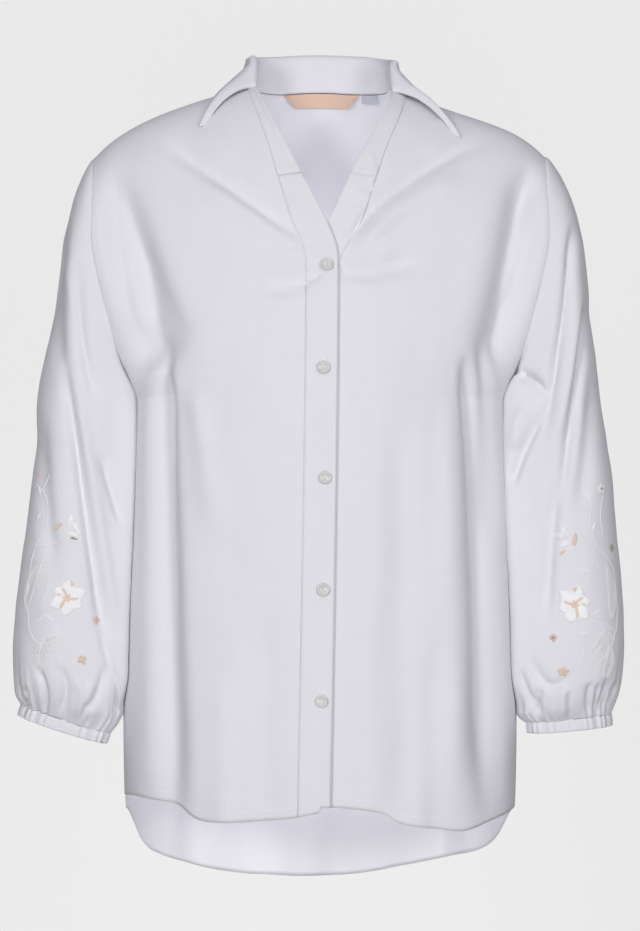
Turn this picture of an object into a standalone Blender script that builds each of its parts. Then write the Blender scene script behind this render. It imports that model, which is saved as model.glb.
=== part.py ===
"""Embroidered blouse, hollow as worn: panels, collar, bands, sleeves, cuffs, labels and buttons.

Metres, +Z up. The front faces -Y. The origin is the neck's centre at the height where the
shoulder seams start. Right and left are the wearer's, so the right side is at -X.
"""
import math

import bmesh
import bpy
from mathutils import Vector

RIGHT, LEFT = -1, 1
FRONT, BACK = -1, 1

# Cloth walls and the gaps between pieces
CLOTH = 0.0012
BAND_CLOTH = 0.0010
LABEL_CLOTH = 0.0010
SEAM_GAP = 0.0003
LAY_GAP = 0.0004
LABEL_GAP, LABEL_SLOPE = 0.0019, 0.25
ARMHOLE_GAP, UNDERARM_GAP = 0.0010, 0.0014
SLEEVE_CLEARANCE = 0.0024
CUFF_GAP = 0.0015

# Shoulder and armhole
SHOULDER_Z = -0.060
ARMHOLE_DROP = 0.2286
ARMHOLE_BOW = 0.020
UNDERARM_Z = SHOULDER_Z - ARMHOLE_DROP
NECK_RISE = 0.082
SHOULDER_SAG, SAG_PLACE = {RIGHT: -0.0015, LEFT: 0.0045}, 1.3
NECK_HALF_WIDTH = 0.066
BACK_NECK_TURN = 0.40 / math.pi

# How soon each face of the body reaches its full depth below the shoulder, and how square it is
FULLNESS = {FRONT: 0.48, BACK: 0.21}
ROUNDNESS = 2.4

# Front opening: the right front laps over the left one
LAP_DEPTH = 0.0050
LAP_START, LAP_END = 0.055, 0.024
BAND_SPLIT_Z = -0.080

# Buttons and labels
BUTTON_RADIUS = 0.0057
BUTTON_THICKNESS = 0.0021
BUTTONS = (
    ("z", "across"),
    (-0.1680, 0.34),
    (-0.2625, 0.42),
    (-0.3630, 0.33),
    (-0.4650, 0.33),
    (-0.5665, 0.32),
)
NECK_LABEL_HALF_TOP, NECK_LABEL_HALF_LOW, NECK_LABEL_DROP = 0.0375, 0.0255, 0.0135
SIZE_LABEL_X, SIZE_LABEL_HALF, SIZE_LABEL_DROP = 0.0475, 0.0068, 0.0080

# Gathers at the wrist
GATHERS = 12
GATHER_DEPTH = 0.0022

# Numbers of faces
ROWS_UPPER, ROWS_LOWER = 11, 10
BAND_COLUMNS, PANEL_COLUMNS = 2, 14
BACK_COLUMNS, NECK_COLUMNS = 30, 4
SLEEVE_COLUMNS, SLEEVE_ROWS = 36, 18
COLLAR_COLUMNS = 10

# Armhole seam, from the shoulder point (0) to the underarm (1), and how far out the body's
# rounded section would reach at that height if the sleeve were not set in
ARMHOLE = (
    ("drop", "half_width", "spread"),
    (0.00, 0.2130, 0.285),
    (0.15, 0.2128, 0.276),
    (0.35, 0.2130, 0.260),
    (0.50, 0.2070, 0.241),
    (0.70, 0.1965, 0.2120),
    (0.88, 0.1850, 0.1880),
    (0.95, 0.1790, 0.1800),
    (1.00, 0.1750, 0.1750),
)

# Body below the underarm, by height
BODY = (
    ("z", "half_width", "front", "back"),
    (-0.760, 0.1800, 0.119, 0.109),
    (-0.700, 0.1830, 0.120, 0.111),
    (-0.660, 0.1850, 0.122, 0.112),
    (-0.594, 0.1860, 0.124, 0.112),
    (-0.490, 0.1845, 0.124, 0.111),
    (-0.420, 0.1810, 0.124, 0.110),
    (-0.350, 0.1775, 0.123, 0.109),
    (UNDERARM_Z, 0.1750, 0.121, 0.108),
)

# Hem heights, from the centre line (0) to the side seam (1)
HEM = (
    ("reach", "front_right", "front_left", "back_right", "back_left"),
    (-0.15, -0.6660, -0.6655, -0.7555, -0.7555),
    (0.00, -0.6690, -0.6640, -0.7555, -0.7555),
    (0.16, -0.6745, -0.6655, -0.7555, -0.7545),
    (0.32, -0.6775, -0.6705, -0.7540, -0.7500),
    (0.40, -0.6780, -0.6795, -0.7530, -0.7465),
    (0.60, -0.6770, -0.6860, -0.7465, -0.7385),
    (0.72, -0.6650, -0.6885, -0.7395, -0.7325),
    (0.86, -0.6610, -0.6820, -0.7290, -0.7245),
    (0.94, -0.6595, -0.6770, -0.7140, -0.7085),
    (1.00, -0.6620, -0.6730, -0.6770, -0.6770),
)

# Free edge of each front, and the width of the band along it, by height
FRONT_EDGE = (
    ("z", "right_x", "right_band", "left_x", "left_band"),
    (-0.700, 0.0085, 0.030, -0.0190, 0.030),
    (-0.400, 0.0140, 0.030, -0.0145, 0.030),
    (-0.170, 0.0165, 0.030, -0.0130, 0.030),
    (-0.150, 0.0150, 0.031, -0.0060, 0.031),
    (-0.124, 0.0050, 0.032, 0.0085, 0.031),
    (-0.080, -0.0176, 0.023, 0.0290, 0.025),
    (-0.052, -0.0318, 0.017, 0.0440, 0.020),
    (-0.022, -0.0470, 0.012, 0.0600, 0.016),
    (0.001, -0.0580, 0.010, 0.0690, 0.013),
    (0.012, -0.0655, 0.009, 0.0715, 0.011),
)

# Folds of the body's cloth, seen straight on: a positive depth stands out, a negative one sinks in
FRONT_FOLDS = (
    ("x_top", "z_top", "x_low", "z_low", "width", "depth"),
    (-0.1410, -0.235, -0.1320, -0.420, 0.0140, -0.0115),
    (-0.1320, -0.380, -0.1230, -0.760, 0.0140, -0.0120),
    (0.1300, -0.240, 0.1430, -0.400, 0.0140, -0.0115),
    (0.1430, -0.350, 0.1530, -0.760, 0.0140, -0.0120),
    (0.0740, -0.290, 0.0760, -0.760, 0.0200, -0.0050),
    (-0.0520, -0.480, -0.0560, -0.760, 0.0180, -0.0040),
    (-0.1860, -0.065, -0.1480, -0.225, 0.0125, -0.0085),
    (0.1900, -0.065, 0.1620, -0.265, 0.0125, -0.0085),
    (-0.1960, -0.095, -0.1710, -0.245, 0.0080, 0.0045),
    (0.2050, -0.095, 0.1780, -0.195, 0.0080, 0.0045),
    (-0.1450, -0.038, -0.0100, -0.150, 0.0070, -0.0035),
    (0.1690, -0.036, 0.0240, -0.146, 0.0070, -0.0038),
)
BACK_FOLDS = (
    ("x_top", "z_top", "x_low", "z_low", "width", "depth"),
    (-0.0880, -0.170, -0.0960, -0.840, 0.0170, -0.0080),
    (0.0960, -0.190, 0.0900, -0.840, 0.0180, -0.0085),
    (-0.0150, -0.360, -0.0100, -0.840, 0.0200, -0.0050),
    (-0.1450, -0.260, -0.1440, -0.800, 0.0120, -0.0080),
    (0.1480, -0.250, 0.1430, -0.800, 0.0120, -0.0080),
    (-0.1880, -0.080, -0.1500, -0.250, 0.0125, -0.0070),
    (0.1880, -0.080, 0.1520, -0.250, 0.0125, -0.0070),
)

# Sleeve sections from the armhole (0) to the gathered wrist (1)
SLEEVE = (
    ("along", "outer_right", "outer_left", "outer_z", "inner_z", "front", "back"),
    (0.00, 0.2130, 0.2130, -0.0600, -0.2886, -0.058, 0.062),
    (0.06, 0.2225, 0.2215, -0.0640, -0.2930, -0.060, 0.064),
    (0.12, 0.2290, 0.2330, -0.0830, -0.2975, -0.062, 0.064),
    (0.18, 0.2360, 0.2405, -0.1080, -0.3030, -0.063, 0.063),
    (0.24, 0.2435, 0.2475, -0.1380, -0.3090, -0.063, 0.061),
    (0.30, 0.2475, 0.2530, -0.1760, -0.3180, -0.062, 0.059),
    (0.36, 0.2530, 0.2555, -0.2140, -0.3300, -0.062, 0.056),
    (0.42, 0.2605, 0.2610, -0.2520, -0.3460, -0.062, 0.053),
    (0.48, 0.2670, 0.2655, -0.2900, -0.3660, -0.063, 0.050),
    (0.54, 0.2680, 0.2705, -0.3280, -0.3900, -0.065, 0.047),
    (0.60, 0.2720, 0.2755, -0.3660, -0.4170, -0.067, 0.044),
    (0.66, 0.2755, 0.2785, -0.4040, -0.4460, -0.069, 0.042),
    (0.72, 0.2810, 0.2825, -0.4420, -0.4760, -0.070, 0.041),
    (0.79, 0.2860, 0.2855, -0.4820, -0.5090, -0.071, 0.040),
    (0.86, 0.2890, 0.2865, -0.5200, -0.5410, -0.070, 0.039),
    (0.92, 0.2885, 0.2840, -0.5500, -0.5690, -0.067, 0.035),
    (1.00, 0.2855, 0.2785, -0.5740, -0.5920, -0.058, 0.026),
)

# Folds of each sleeve: degrees run from the outside (0) over the front (90) to the inside (180)
SLEEVE_FOLDS = {
    RIGHT: (
        ("from_along", "from_turn", "to_along", "to_turn", "width", "depth"),
        (0.34, 46, 0.60, 102, 10, -0.0050),
        (0.56, 98, 0.84, 136, 10, -0.0050),
        (0.10, 60, 0.40, 120, 12, -0.0045),
        (0.30, 205, 0.62, 240, 16, -0.0060),
        (0.50, 290, 0.88, 262, 16, -0.0060),
        (0.72, 60, 0.96, 66, 9, -0.0035),
    ),
    LEFT: (
        ("from_along", "from_turn", "to_along", "to_turn", "width", "depth"),
        (0.22, 50, 0.58, 122, 9, -0.0055),
        (0.30, 150, 0.56, 156, 16, -0.0080),
        (0.44, 40, 0.74, 100, 10, -0.0045),
        (0.30, 210, 0.62, 236, 16, -0.0060),
        (0.50, 288, 0.88, 266, 16, -0.0060),
        (0.74, 110, 0.96, 104, 9, -0.0035),
    ),
}

# Elastic casing of each wrist: the outer and inner ends of its top edge
CUFF_HEIGHT = 0.0108
CUFF = {
    RIGHT: {"outer": (0.2805, -0.5770), "inner": (0.2005, -0.6030), "front": -0.050, "back": 0.018},
    LEFT: {"outer": (0.2745, -0.5860), "inner": (0.1935, -0.5900), "front": -0.050, "back": 0.018},
}

# Collar stations from the centre back (0) to its front end (1). The stand rises from the neck
# seam to the fold, and the fall drops to an edge whose place on the body is given by two columns:
# edge_turn, the row from centre back (1) over the shoulder (0) to the front (-1), and edge_x
COLLAR = (
    ("station", "stand", "lean", "edge_x_right", "edge_x_left", "edge_turn", "lift"),
    (0.00, 0.0350, 0.0090, 0.0000, 0.0000, 0.200, 0.0040),
    (0.25, 0.0345, 0.0070, 0.0380, 0.0370, 0.185, 0.0045),
    (0.50, 0.0290, 0.0010, 0.0720, 0.0700, 0.130, 0.0045),
    (0.70, 0.0220, -0.0020, 0.0875, 0.0890, 0.040, 0.0040),
    (0.85, 0.0140, -0.0010, 0.0980, 0.1020, -0.085, 0.0035),
    (1.00, 0.0022, 0.0015, 0.1125, 0.1310, -0.205, 0.0026),
)
NECK_FRONT_TURN = 0.075
COLLAR_BULGE = 0.003

COLORS = {
    "cloth": (0.80, 0.80, 0.84),
    "button": (0.74, 0.73, 0.70),
    "neck_label": (0.50, 0.33, 0.25),
    "size_label": (0.55, 0.56, 0.62),
}


def clear_scene():
    for obj in list(bpy.data.objects):
        bpy.data.objects.remove(obj, do_unlink=True)


def ease(value):
    """Smooth step from 0 to 1."""
    value = min(1.0, max(0.0, value))
    return value * value * (3 - 2 * value)


def read(table, name, at):
    """Value of a named column at a place along the first column, on a smooth curve."""
    column = table[0].index(name)
    rows = table[1:]
    at = min(max(at, rows[0][0]), rows[-1][0])
    k = 0
    while k < len(rows) - 2 and rows[k + 1][0] < at:
        k += 1
    slopes = []
    for i in (k, k + 1):
        before, after = rows[max(i - 1, 0)], rows[min(i + 1, len(rows) - 1)]
        slopes.append((after[column] - before[column]) / (after[0] - before[0]))
    step = rows[k + 1][0] - rows[k][0]
    q = (at - rows[k][0]) / step
    return (
        rows[k][column] * (1 + 2 * q) * (1 - q) ** 2
        + slopes[0] * step * q * (1 - q) ** 2
        + rows[k + 1][column] * q * q * (3 - 2 * q)
        - slopes[1] * step * q * q * (1 - q)
    )


def shoulder_slope(reach):
    """Share of the fall from the neck to the shoulder point, rounded off at the tip."""
    soft = 0.12
    ramp = (math.hypot(reach, soft) - soft) / (math.hypot(1, soft) - soft)
    return 0.75 * ramp + 0.25 * reach ** 8


def body_surface(face, v, reach):
    """Point of the smooth body: v is 0 at the shoulder, 1 at the underarm and 2 at the hem."""
    centre_name = "front" if face == FRONT else "back"
    if v <= 1:
        angle = math.pi * v
        drop = (1 - math.cos(angle)) / 2
        rise = NECK_RISE * (1 - drop) ** 1.5
        out = min(abs(reach), 1.0)
        z = SHOULDER_Z - drop * ARMHOLE_DROP + rise * (1 - shoulder_slope(out))
        sag = SHOULDER_SAG[LEFT if reach > 0 else RIGHT]
        z -= sag * (1 - drop) ** 2 * math.sin(math.pi * out ** SAG_PLACE) ** 2
        half_width, spread = read(ARMHOLE, "half_width", drop), read(ARMHOLE, "spread", drop)
        depth = read(BODY, centre_name, UNDERARM_Z) * (1 - (1 - drop) ** 1.6) ** FULLNESS[face]
    else:
        hem_name = centre_name + ("_left" if reach > 0 else "_right")
        z = UNDERARM_Z + (read(HEM, hem_name, abs(reach)) - UNDERARM_Z) * (v - 1)
        half_width = spread = read(BODY, "half_width", z)
        depth = read(BODY, centre_name, z)
    x = half_width * reach
    depth *= max(0.0, 1 - abs(x / spread) ** ROUNDNESS) ** (1 / ROUNDNESS)
    return Vector((x, face * (depth + SEAM_GAP / 2), z))


def fold_relief(folds, x, z):
    """Height of the folds at a place, each one a soft ridge or trough along its own line."""
    height = 0.0
    for x_top, z_top, x_low, z_low, width, depth in folds[1:]:
        run_x, run_z = x_low - x_top, z_low - z_top
        length = math.hypot(run_x, run_z)
        q = ((x - x_top) * run_x + (z - z_top) * run_z) / length ** 2
        aside = ((x - x_top) * run_z - (z - z_top) * run_x) / length
        fade = ease(q / 0.3) * ease((1 - q) / 0.2)
        height += depth * fade * math.exp(-((aside / width) ** 2))
    return height


def surface_normal(surface, face, v, reach):
    """Outward normal by small steps, kept off the ends of the surface."""
    v = min(max(v, 0.02), 1.98)
    if abs(v - 1) < 0.012:
        v = 1.012
    near = max(-0.985, min(0.985, reach))
    down = surface(face, v + 0.01, near) - surface(face, v - 0.01, near)
    across = surface(face, v, near + 0.01) - surface(face, v, near - 0.01)
    return (across.cross(down) * face).normalized()


def body(face, v, reach, out=0.0):
    """Point of the draped body, moved out along the normal."""
    point = body_surface(face, v, reach)
    normal = surface_normal(body_surface, face, v, reach)
    edge_fade = ease((1 - abs(reach)) / 0.10) * ease(v / 0.12)
    folds = FRONT_FOLDS if face == FRONT else BACK_FOLDS
    height = fold_relief(folds, point.x, point.z) * edge_fade
    return point + normal * (height + out)


def reach_of(face, v, x):
    """Share of the half width at which the body has this x, on row v."""
    reach = 0.0
    for _ in range(6):
        point = body_surface(face, v, reach)
        wide = body_surface(face, v, 0.5).x / 0.5
        if v > 1:
            wide = read(BODY, "half_width", point.z)
        reach = x / wide
    return reach


def front_edge(side, v, share):
    """Reach of a front's free edge (share 0) or of its band's other edge (share 1)."""
    name = "right" if side == RIGHT else "left"
    reach = 0.0
    for _ in range(8):
        z = body_surface(FRONT, v, reach).z
        x = read(FRONT_EDGE, name + "_x", z) + side * share * read(FRONT_EDGE, name + "_band", z)
        reach = reach_of(FRONT, v, x)
    return reach


def front_point(side, v, across, out=0.0):
    """Point of a front: across is 0 at its free edge, 1 at the band's seam and 2 at the side."""
    if across <= 1:
        reach = front_edge(side, v, across)
    else:
        first, last = front_edge(side, v, 1.0), side * 1.0
        turn = math.radians(78)
        inner = math.asin(first / last * math.sin(turn))
        reach = last * math.sin(inner + (turn - inner) * (across - 1)) / math.sin(turn)
    point = body(FRONT, v, reach, out)
    if side == LEFT:
        below = ease((LAP_START - point.x) / (LAP_START - LAP_END))
        point.y += LAP_DEPTH * below * ease((-0.085 - point.z) / 0.05)
    return point


def row_value(row):
    """Row number to v: the upper rows end at the underarm, the lower ones at the hem."""
    if row <= ROWS_UPPER:
        return row / ROWS_UPPER
    return 1 + (row - ROWS_UPPER) / ROWS_LOWER


def split_row():
    """Row at which the placket ends and the neckline facing starts."""
    rows = range(ROWS_UPPER)
    return min(rows, key=lambda row: abs(front_point(RIGHT, row_value(row), 0).z - BAND_SPLIT_Z))


def make_material(name):
    material = bpy.data.materials.new(name)
    material.use_nodes = True
    shader = material.node_tree.nodes["Principled BSDF"]
    kind = "cloth"
    for other in ("button", "neck_label", "size_label"):
        if name.startswith(other):
            kind = other
    shader.inputs["Base Color"].default_value = (*COLORS[kind], 1)
    shader.inputs["Roughness"].default_value = 0.35 if kind == "button" else 0.85
    shader.inputs["Metallic"].default_value = 0.0
    material.diffuse_color = (*COLORS[kind], 1)
    return material


def add_object(name, mesh, collection):
    obj = bpy.data.objects.new(name, mesh)
    mesh.materials.append(make_material(name + "_finish"))
    collection.objects.link(obj)
    return obj


def add_cloth(name, collection, columns, rows, place, wall=CLOTH, closed=False):
    """Grid whose corners are placed by a function of column and row, then given its wall."""
    cloth = bmesh.new()
    bmesh.ops.create_grid(cloth, x_segments=columns, y_segments=rows, size=1.0)
    for vert in cloth.verts:
        column = round((vert.co.x + 1) / 2 * columns)
        row = round((1 - vert.co.y) / 2 * rows)
        if closed:
            column %= columns
        vert.co = place(column, row)
    if closed:
        bmesh.ops.remove_doubles(cloth, verts=cloth.verts, dist=1e-7)
    bmesh.ops.recalc_face_normals(cloth, faces=cloth.faces)
    mesh = bpy.data.meshes.new(name)
    cloth.to_mesh(mesh)
    cloth.free()
    mesh.shade_smooth()
    obj = add_object(name, mesh, collection)
    solid = obj.modifiers.new("wall", "SOLIDIFY")
    solid.thickness = wall
    solid.offset = 0.0
    return obj


def add_front(side, collection):
    name = "front_right" if side == RIGHT else "front_left"

    def place(column, row):
        across = column / BAND_COLUMNS
        if column > BAND_COLUMNS:
            across = 1 + (column - BAND_COLUMNS) / PANEL_COLUMNS
        return front_point(side, row_value(row), across)

    return add_cloth(name, collection, BAND_COLUMNS + PANEL_COLUMNS, ROWS_UPPER + ROWS_LOWER, place)


def add_band(name, side, first_row, last_row, collection):
    """Band laid on a front along its free edge, made from the front's own points moved out."""
    out = CLOTH / 2 + LAY_GAP + BAND_CLOTH / 2

    def place(column, row):
        v = row_value(first_row + row)
        point = front_point(side, v, column / BAND_COLUMNS, out)
        if row == 0 and first_row > 0:
            point = point.lerp(front_point(side, v + 0.01, column / BAND_COLUMNS, out), 0.15)
        return point

    return add_cloth(name, collection, BAND_COLUMNS, last_row - first_row, place, BAND_CLOTH)


def back_neck_turn(x):
    """Row value of the back's neck edge at this x: deepest at the centre, 0 from the neck point on."""
    share = min(1.0, abs(x) / NECK_HALF_WIDTH)
    return BACK_NECK_TURN * math.sqrt(1 - share ** 2)


def back_place(column, row):
    """Corner of the back's grid: even columns inside the neck, closer ones towards the side."""
    from_middle = column - BACK_COLUMNS / 2
    neck = NECK_HALF_WIDTH / read(ARMHOLE, "half_width", 0)
    turn = math.radians(78)
    inner = math.asin(neck * math.sin(turn))
    share = (abs(from_middle) - NECK_COLUMNS) / (BACK_COLUMNS / 2 - NECK_COLUMNS)
    reach = neck * abs(from_middle) / NECK_COLUMNS
    if share > 0:
        reach = math.sin(inner + (turn - inner) * share) / math.sin(turn)
    v = row_value(row)
    if v < 1:
        top = back_neck_turn(reach * read(ARMHOLE, "half_width", 0))
        v = top + (1 - top) * v
    return body(BACK, v, math.copysign(reach, from_middle))


def add_back(collection):
    return add_cloth("back", collection, BACK_COLUMNS, ROWS_UPPER + ROWS_LOWER, back_place)


def on_grid(place, column, row, out):
    """Point on the flat faces of a grid, moved out along their normal, and that normal."""
    c, r = int(column), int(row)
    top = place(c, r).lerp(place(c + 1, r), column - c)
    low = place(c, r + 1).lerp(place(c + 1, r + 1), column - c)
    across = place(c + 1, r) - place(c, r) + place(c + 1, r + 1) - place(c, r + 1)
    normal = across.cross(low - top).normalized()
    return top.lerp(low, row - r) + normal * out, normal


def solve(function, wanted, low, high):
    """Place between low and high at which a rising or falling function has the wanted value."""
    rising = function(high) > function(low)
    for _ in range(24):
        middle = (low + high) / 2
        if (function(middle) < wanted) == rising:
            low = middle
        else:
            high = middle
    return low


def neck_edge(side, station):
    """Neck seam from the centre back (0) past the neck point (0.6) to the collar's front end (1)."""
    if station <= 0.6:
        x = NECK_HALF_WIDTH * math.sin(math.pi / 2 * station / 0.6)
        v = back_neck_turn(x)
        return body(BACK, v, side * reach_of(BACK, v, x))
    v = NECK_FRONT_TURN * (station - 0.6) / 0.4
    return front_point(side, v, 0)


def collar_section(side, station):
    """The collar's line at one station: neck seam, fold and falling edge."""
    name = "edge_x_right" if side == RIGHT else "edge_x_left"
    seam = neck_edge(side, station) + Vector((0, 0, 0.0017))
    away = Vector((seam.x, seam.y - 0.005, 0)).normalized()
    fold = seam + away * read(COLLAR, "lean", station)
    fold.z += read(COLLAR, "stand", station)
    turn = read(COLLAR, "edge_turn", station)
    face = BACK if turn >= 0 else FRONT
    reach = side * abs(reach_of(face, abs(turn), read(COLLAR, name, station)))
    edge = body(face, abs(turn), reach, read(COLLAR, "lift", station))
    roll = 0.0022
    shoulder = fold.lerp(edge, 0.5) + (away + Vector((0, 0, 0.9))) * COLLAR_BULGE
    line = [seam, seam.lerp(fold, 0.5) - away * 0.0008, fold - away * roll * 0.6]
    line.append(fold + Vector((0, 0, roll)) + away * roll * 0.5)
    for share in (0.0, 0.25, 0.5, 0.75, 1.0):
        start = fold + away * roll * 2.0 + Vector((0, 0, roll * 0.4))
        line.append(start.lerp(shoulder, share).lerp(shoulder.lerp(edge, share), share))
    return line


def add_collar(collection):
    sections = {}
    for column in range(2 * COLLAR_COLUMNS + 1):
        side = RIGHT if column < COLLAR_COLUMNS else LEFT
        sections[column] = collar_section(side, abs(column / COLLAR_COLUMNS - 1))
    rows = len(sections[0]) - 1
    return add_cloth("collar", collection, 2 * COLLAR_COLUMNS, rows, lambda c, r: sections[c][r])


def ring(outer, inner, front, back, turn):
    """Point of a rounded section between its outer and inner ends, at a turn in radians."""
    middle, half = (outer + inner) / 2, (outer - inner) / 2
    depth = -front if math.sin(turn) > 0 else back
    point = middle + half * math.cos(turn)
    point.y += -depth * math.sin(turn)
    return point


def sleeve_relief(side, along, turn):
    """Height of the sleeve's folds and of the gathers that come up from the wrist."""
    height = 0.0
    degrees = math.degrees(turn) % 360
    for along0, turn0, along1, turn1, width, depth in SLEEVE_FOLDS[side][1:]:
        q = (along - along0) / (along1 - along0)
        aside = degrees - (turn0 + (turn1 - turn0) * q)
        fade = ease(q / 0.3) * ease((1 - q) / 0.3)
        height += depth * fade * math.exp(-((aside / width) ** 2))
    return height - GATHER_DEPTH * ease((along - 0.88) / 0.12) * math.cos(GATHERS * turn)


def armhole_seam(turn):
    """Point of the sleeve's sewn edge, just outside the straight edges of the body's rows."""
    face = FRONT if math.sin(turn) >= 0 else BACK
    row = math.acos(max(-1.0, min(1.0, math.cos(turn)))) / math.pi * ROWS_UPPER
    above = min(int(row), ROWS_UPPER - 1)
    start = body_surface(face, above / ROWS_UPPER, 1.0)
    seam = start.lerp(body_surface(face, (above + 1) / ROWS_UPPER, 1.0), row - above)
    seam.x += ARMHOLE_GAP + UNDERARM_GAP * ease((row / ROWS_UPPER - 0.55) / 0.35)
    return seam


def sleeve_point(side, along, turn):
    """Point of a sleeve; its first ring is the armhole seam itself."""
    name = "outer_right" if side == RIGHT else "outer_left"
    inner_z = read(SLEEVE, "inner_z", along)
    outer = Vector((read(SLEEVE, name, along), 0, read(SLEEVE, "outer_z", along)))
    inner = Vector((read(BODY, "half_width", inner_z) + SLEEVE_CLEARANCE, 0, inner_z))
    front, back = read(SLEEVE, "front", along), read(SLEEVE, "back", along)
    middle_y = (front + back) / 2
    outer.y = inner.y = middle_y
    half = (back - front) / 2
    point = ring(outer, inner, -half, half, turn)
    point.x += ARMHOLE_BOW * math.sin(turn) ** 2 * (1 - ease(along / 0.55))
    set_in = ease(along / 0.2)
    if set_in < 1:
        point = armhole_seam(turn).lerp(point, set_in)
    tilt = Vector((math.cos(turn), -math.sin(turn), 0))
    point += tilt * sleeve_relief(side, along, turn)
    point.x *= side
    return point


def wrist_ring(side, drop, swell, turn):
    """Ring of the casing, drop below its top edge, with the ripple of the elastic."""
    ends = CUFF[side]
    outer = Vector((ends["outer"][0] + swell, (ends["front"] + ends["back"]) / 2, ends["outer"][1]))
    inner = Vector((ends["inner"][0] - swell, outer.y, ends["inner"][1]))
    down = (inner - outer).normalized().cross(Vector((0, 1, 0)))
    half = (ends["back"] - ends["front"]) / 2 + swell
    point = ring(outer, inner, -half, half, turn) + down * (drop if down.z < 0 else -drop)
    tilt = Vector((math.cos(turn), -math.sin(turn), 0))
    point -= tilt * GATHER_DEPTH * 0.5 * math.cos(GATHERS * turn)
    point.x *= side
    return point


def add_sleeve(side, collection):
    name = "sleeve_right" if side == RIGHT else "sleeve_left"

    def place(column, row):
        turn = 2 * math.pi * column / SLEEVE_COLUMNS
        if row == SLEEVE_ROWS:
            return wrist_ring(side, -CUFF_GAP, 0.0010, turn)
        return sleeve_point(side, row / (SLEEVE_ROWS - 1), turn)

    return add_cloth(name, collection, SLEEVE_COLUMNS, SLEEVE_ROWS, place, closed=True)


def add_cuff(side, collection):
    name = "cuff_right" if side == RIGHT else "cuff_left"
    swells = (0.0008, 0.0022, 0.0020, 0.0006)

    def place(column, row):
        drop = CUFF_HEIGHT * row / (len(swells) - 1)
        return wrist_ring(side, drop, swells[row], 2 * math.pi * column / SLEEVE_COLUMNS)

    return add_cloth(name, collection, SLEEVE_COLUMNS, len(swells) - 1, place, closed=True)


def add_label(name, middle_x, half_top, half_low, drop, collection):
    """Label caught in the neck seam, hanging on the inside of the back."""
    columns, rows = 6, 2

    def place(column, row):
        share = row / rows
        half = half_top + (half_low - half_top) * share
        x = middle_x + half * (2 * column / columns - 1)
        seat = solve(lambda c: on_grid(back_place, c, 0, 0)[0].x, x, 0, BACK_COLUMNS - 0.01)
        top = on_grid(back_place, seat, 0, 0)[0]
        inward = Vector((-top.x, -top.y, 0)).normalized() * LABEL_GAP
        fall = 0.0006 + drop * share
        return top + inward + Vector((0, LABEL_SLOPE * fall, -fall))

    return add_cloth(name, collection, columns, rows, place, LABEL_CLOTH)


def button_profile():
    """Half section of a button, from the top of its dished face round its rim to its back."""
    r, t = BUTTON_RADIUS, BUTTON_THICKNESS
    return ((0, t * 0.62), (r * 0.60, t * 0.62), (r * 0.74, t * 0.98), (r * 0.90, t), (r, t * 0.72),
            (r, t * 0.30), (r * 0.88, 0), (0, 0))


def placket_place(column, row):
    """Corner of the right placket's grid, on the rows of the whole front."""
    out = CLOTH / 2 + LAY_GAP + BAND_CLOTH / 2
    return front_point(RIGHT, row_value(row), column / BAND_COLUMNS, out)


def placket_seat(z, across):
    """Point on the outside of the right placket at a height, and the way out from it."""
    column = across * BAND_COLUMNS
    out = BAND_CLOTH / 2 + SEAM_GAP
    row = solve(lambda r: on_grid(placket_place, column, r, 0)[0].z, z, 0, ROWS_UPPER + ROWS_LOWER - 0.01)
    seat, normal = on_grid(placket_place, column, row, out)
    return seat, normal


def add_button(number, z, across, collection):
    name = "button_%d" % number
    mesh = bpy.data.meshes.new(name)
    profile = [(x, 0, height) for x, height in button_profile()]
    mesh.from_pydata(profile, [(k, k + 1) for k in range(len(profile) - 1)], [])
    button = add_object(name, mesh, collection)
    turn = button.modifiers.new("turn", "SCREW")
    turn.steps = turn.render_steps = 18
    turn.use_merge_vertices = True
    turn.merge_threshold = 1e-5
    turn.use_smooth_shade = True
    seat, out = placket_seat(z, across)
    button.location = seat
    button.rotation_mode = "QUATERNION"
    button.rotation_quaternion = out.to_track_quat("Z", "Y")
    return button


def build():
    clear_scene()
    collection = bpy.data.collections.new("embroidered_blouse")
    bpy.context.scene.collection.children.link(collection)
    add_back(collection)
    split, hem = split_row(), ROWS_UPPER + ROWS_LOWER
    for side, name in ((RIGHT, "right"), (LEFT, "left")):
        add_front(side, collection)
        add_band("facing_" + name, side, 1, split, collection)
        add_band("placket_" + name, side, split, hem, collection)
        add_sleeve(side, collection)
        add_cuff(side, collection)
    add_collar(collection)
    add_label("neck_label", 0.0015, NECK_LABEL_HALF_TOP, NECK_LABEL_HALF_LOW, NECK_LABEL_DROP, collection)
    add_label("size_label", SIZE_LABEL_X, SIZE_LABEL_HALF, SIZE_LABEL_HALF, SIZE_LABEL_DROP, collection)
    for number, (z, across) in enumerate(BUTTONS[1:], 1):
        add_button(number, z, across, collection)


build()
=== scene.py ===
"""Looks of the embroidered blouse: cloth shells with their folds, sewing, buttons and embroidery.

Metres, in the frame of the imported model: +Z up, the front faces -Y, the wearer's left at +X.
"""
import math

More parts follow.
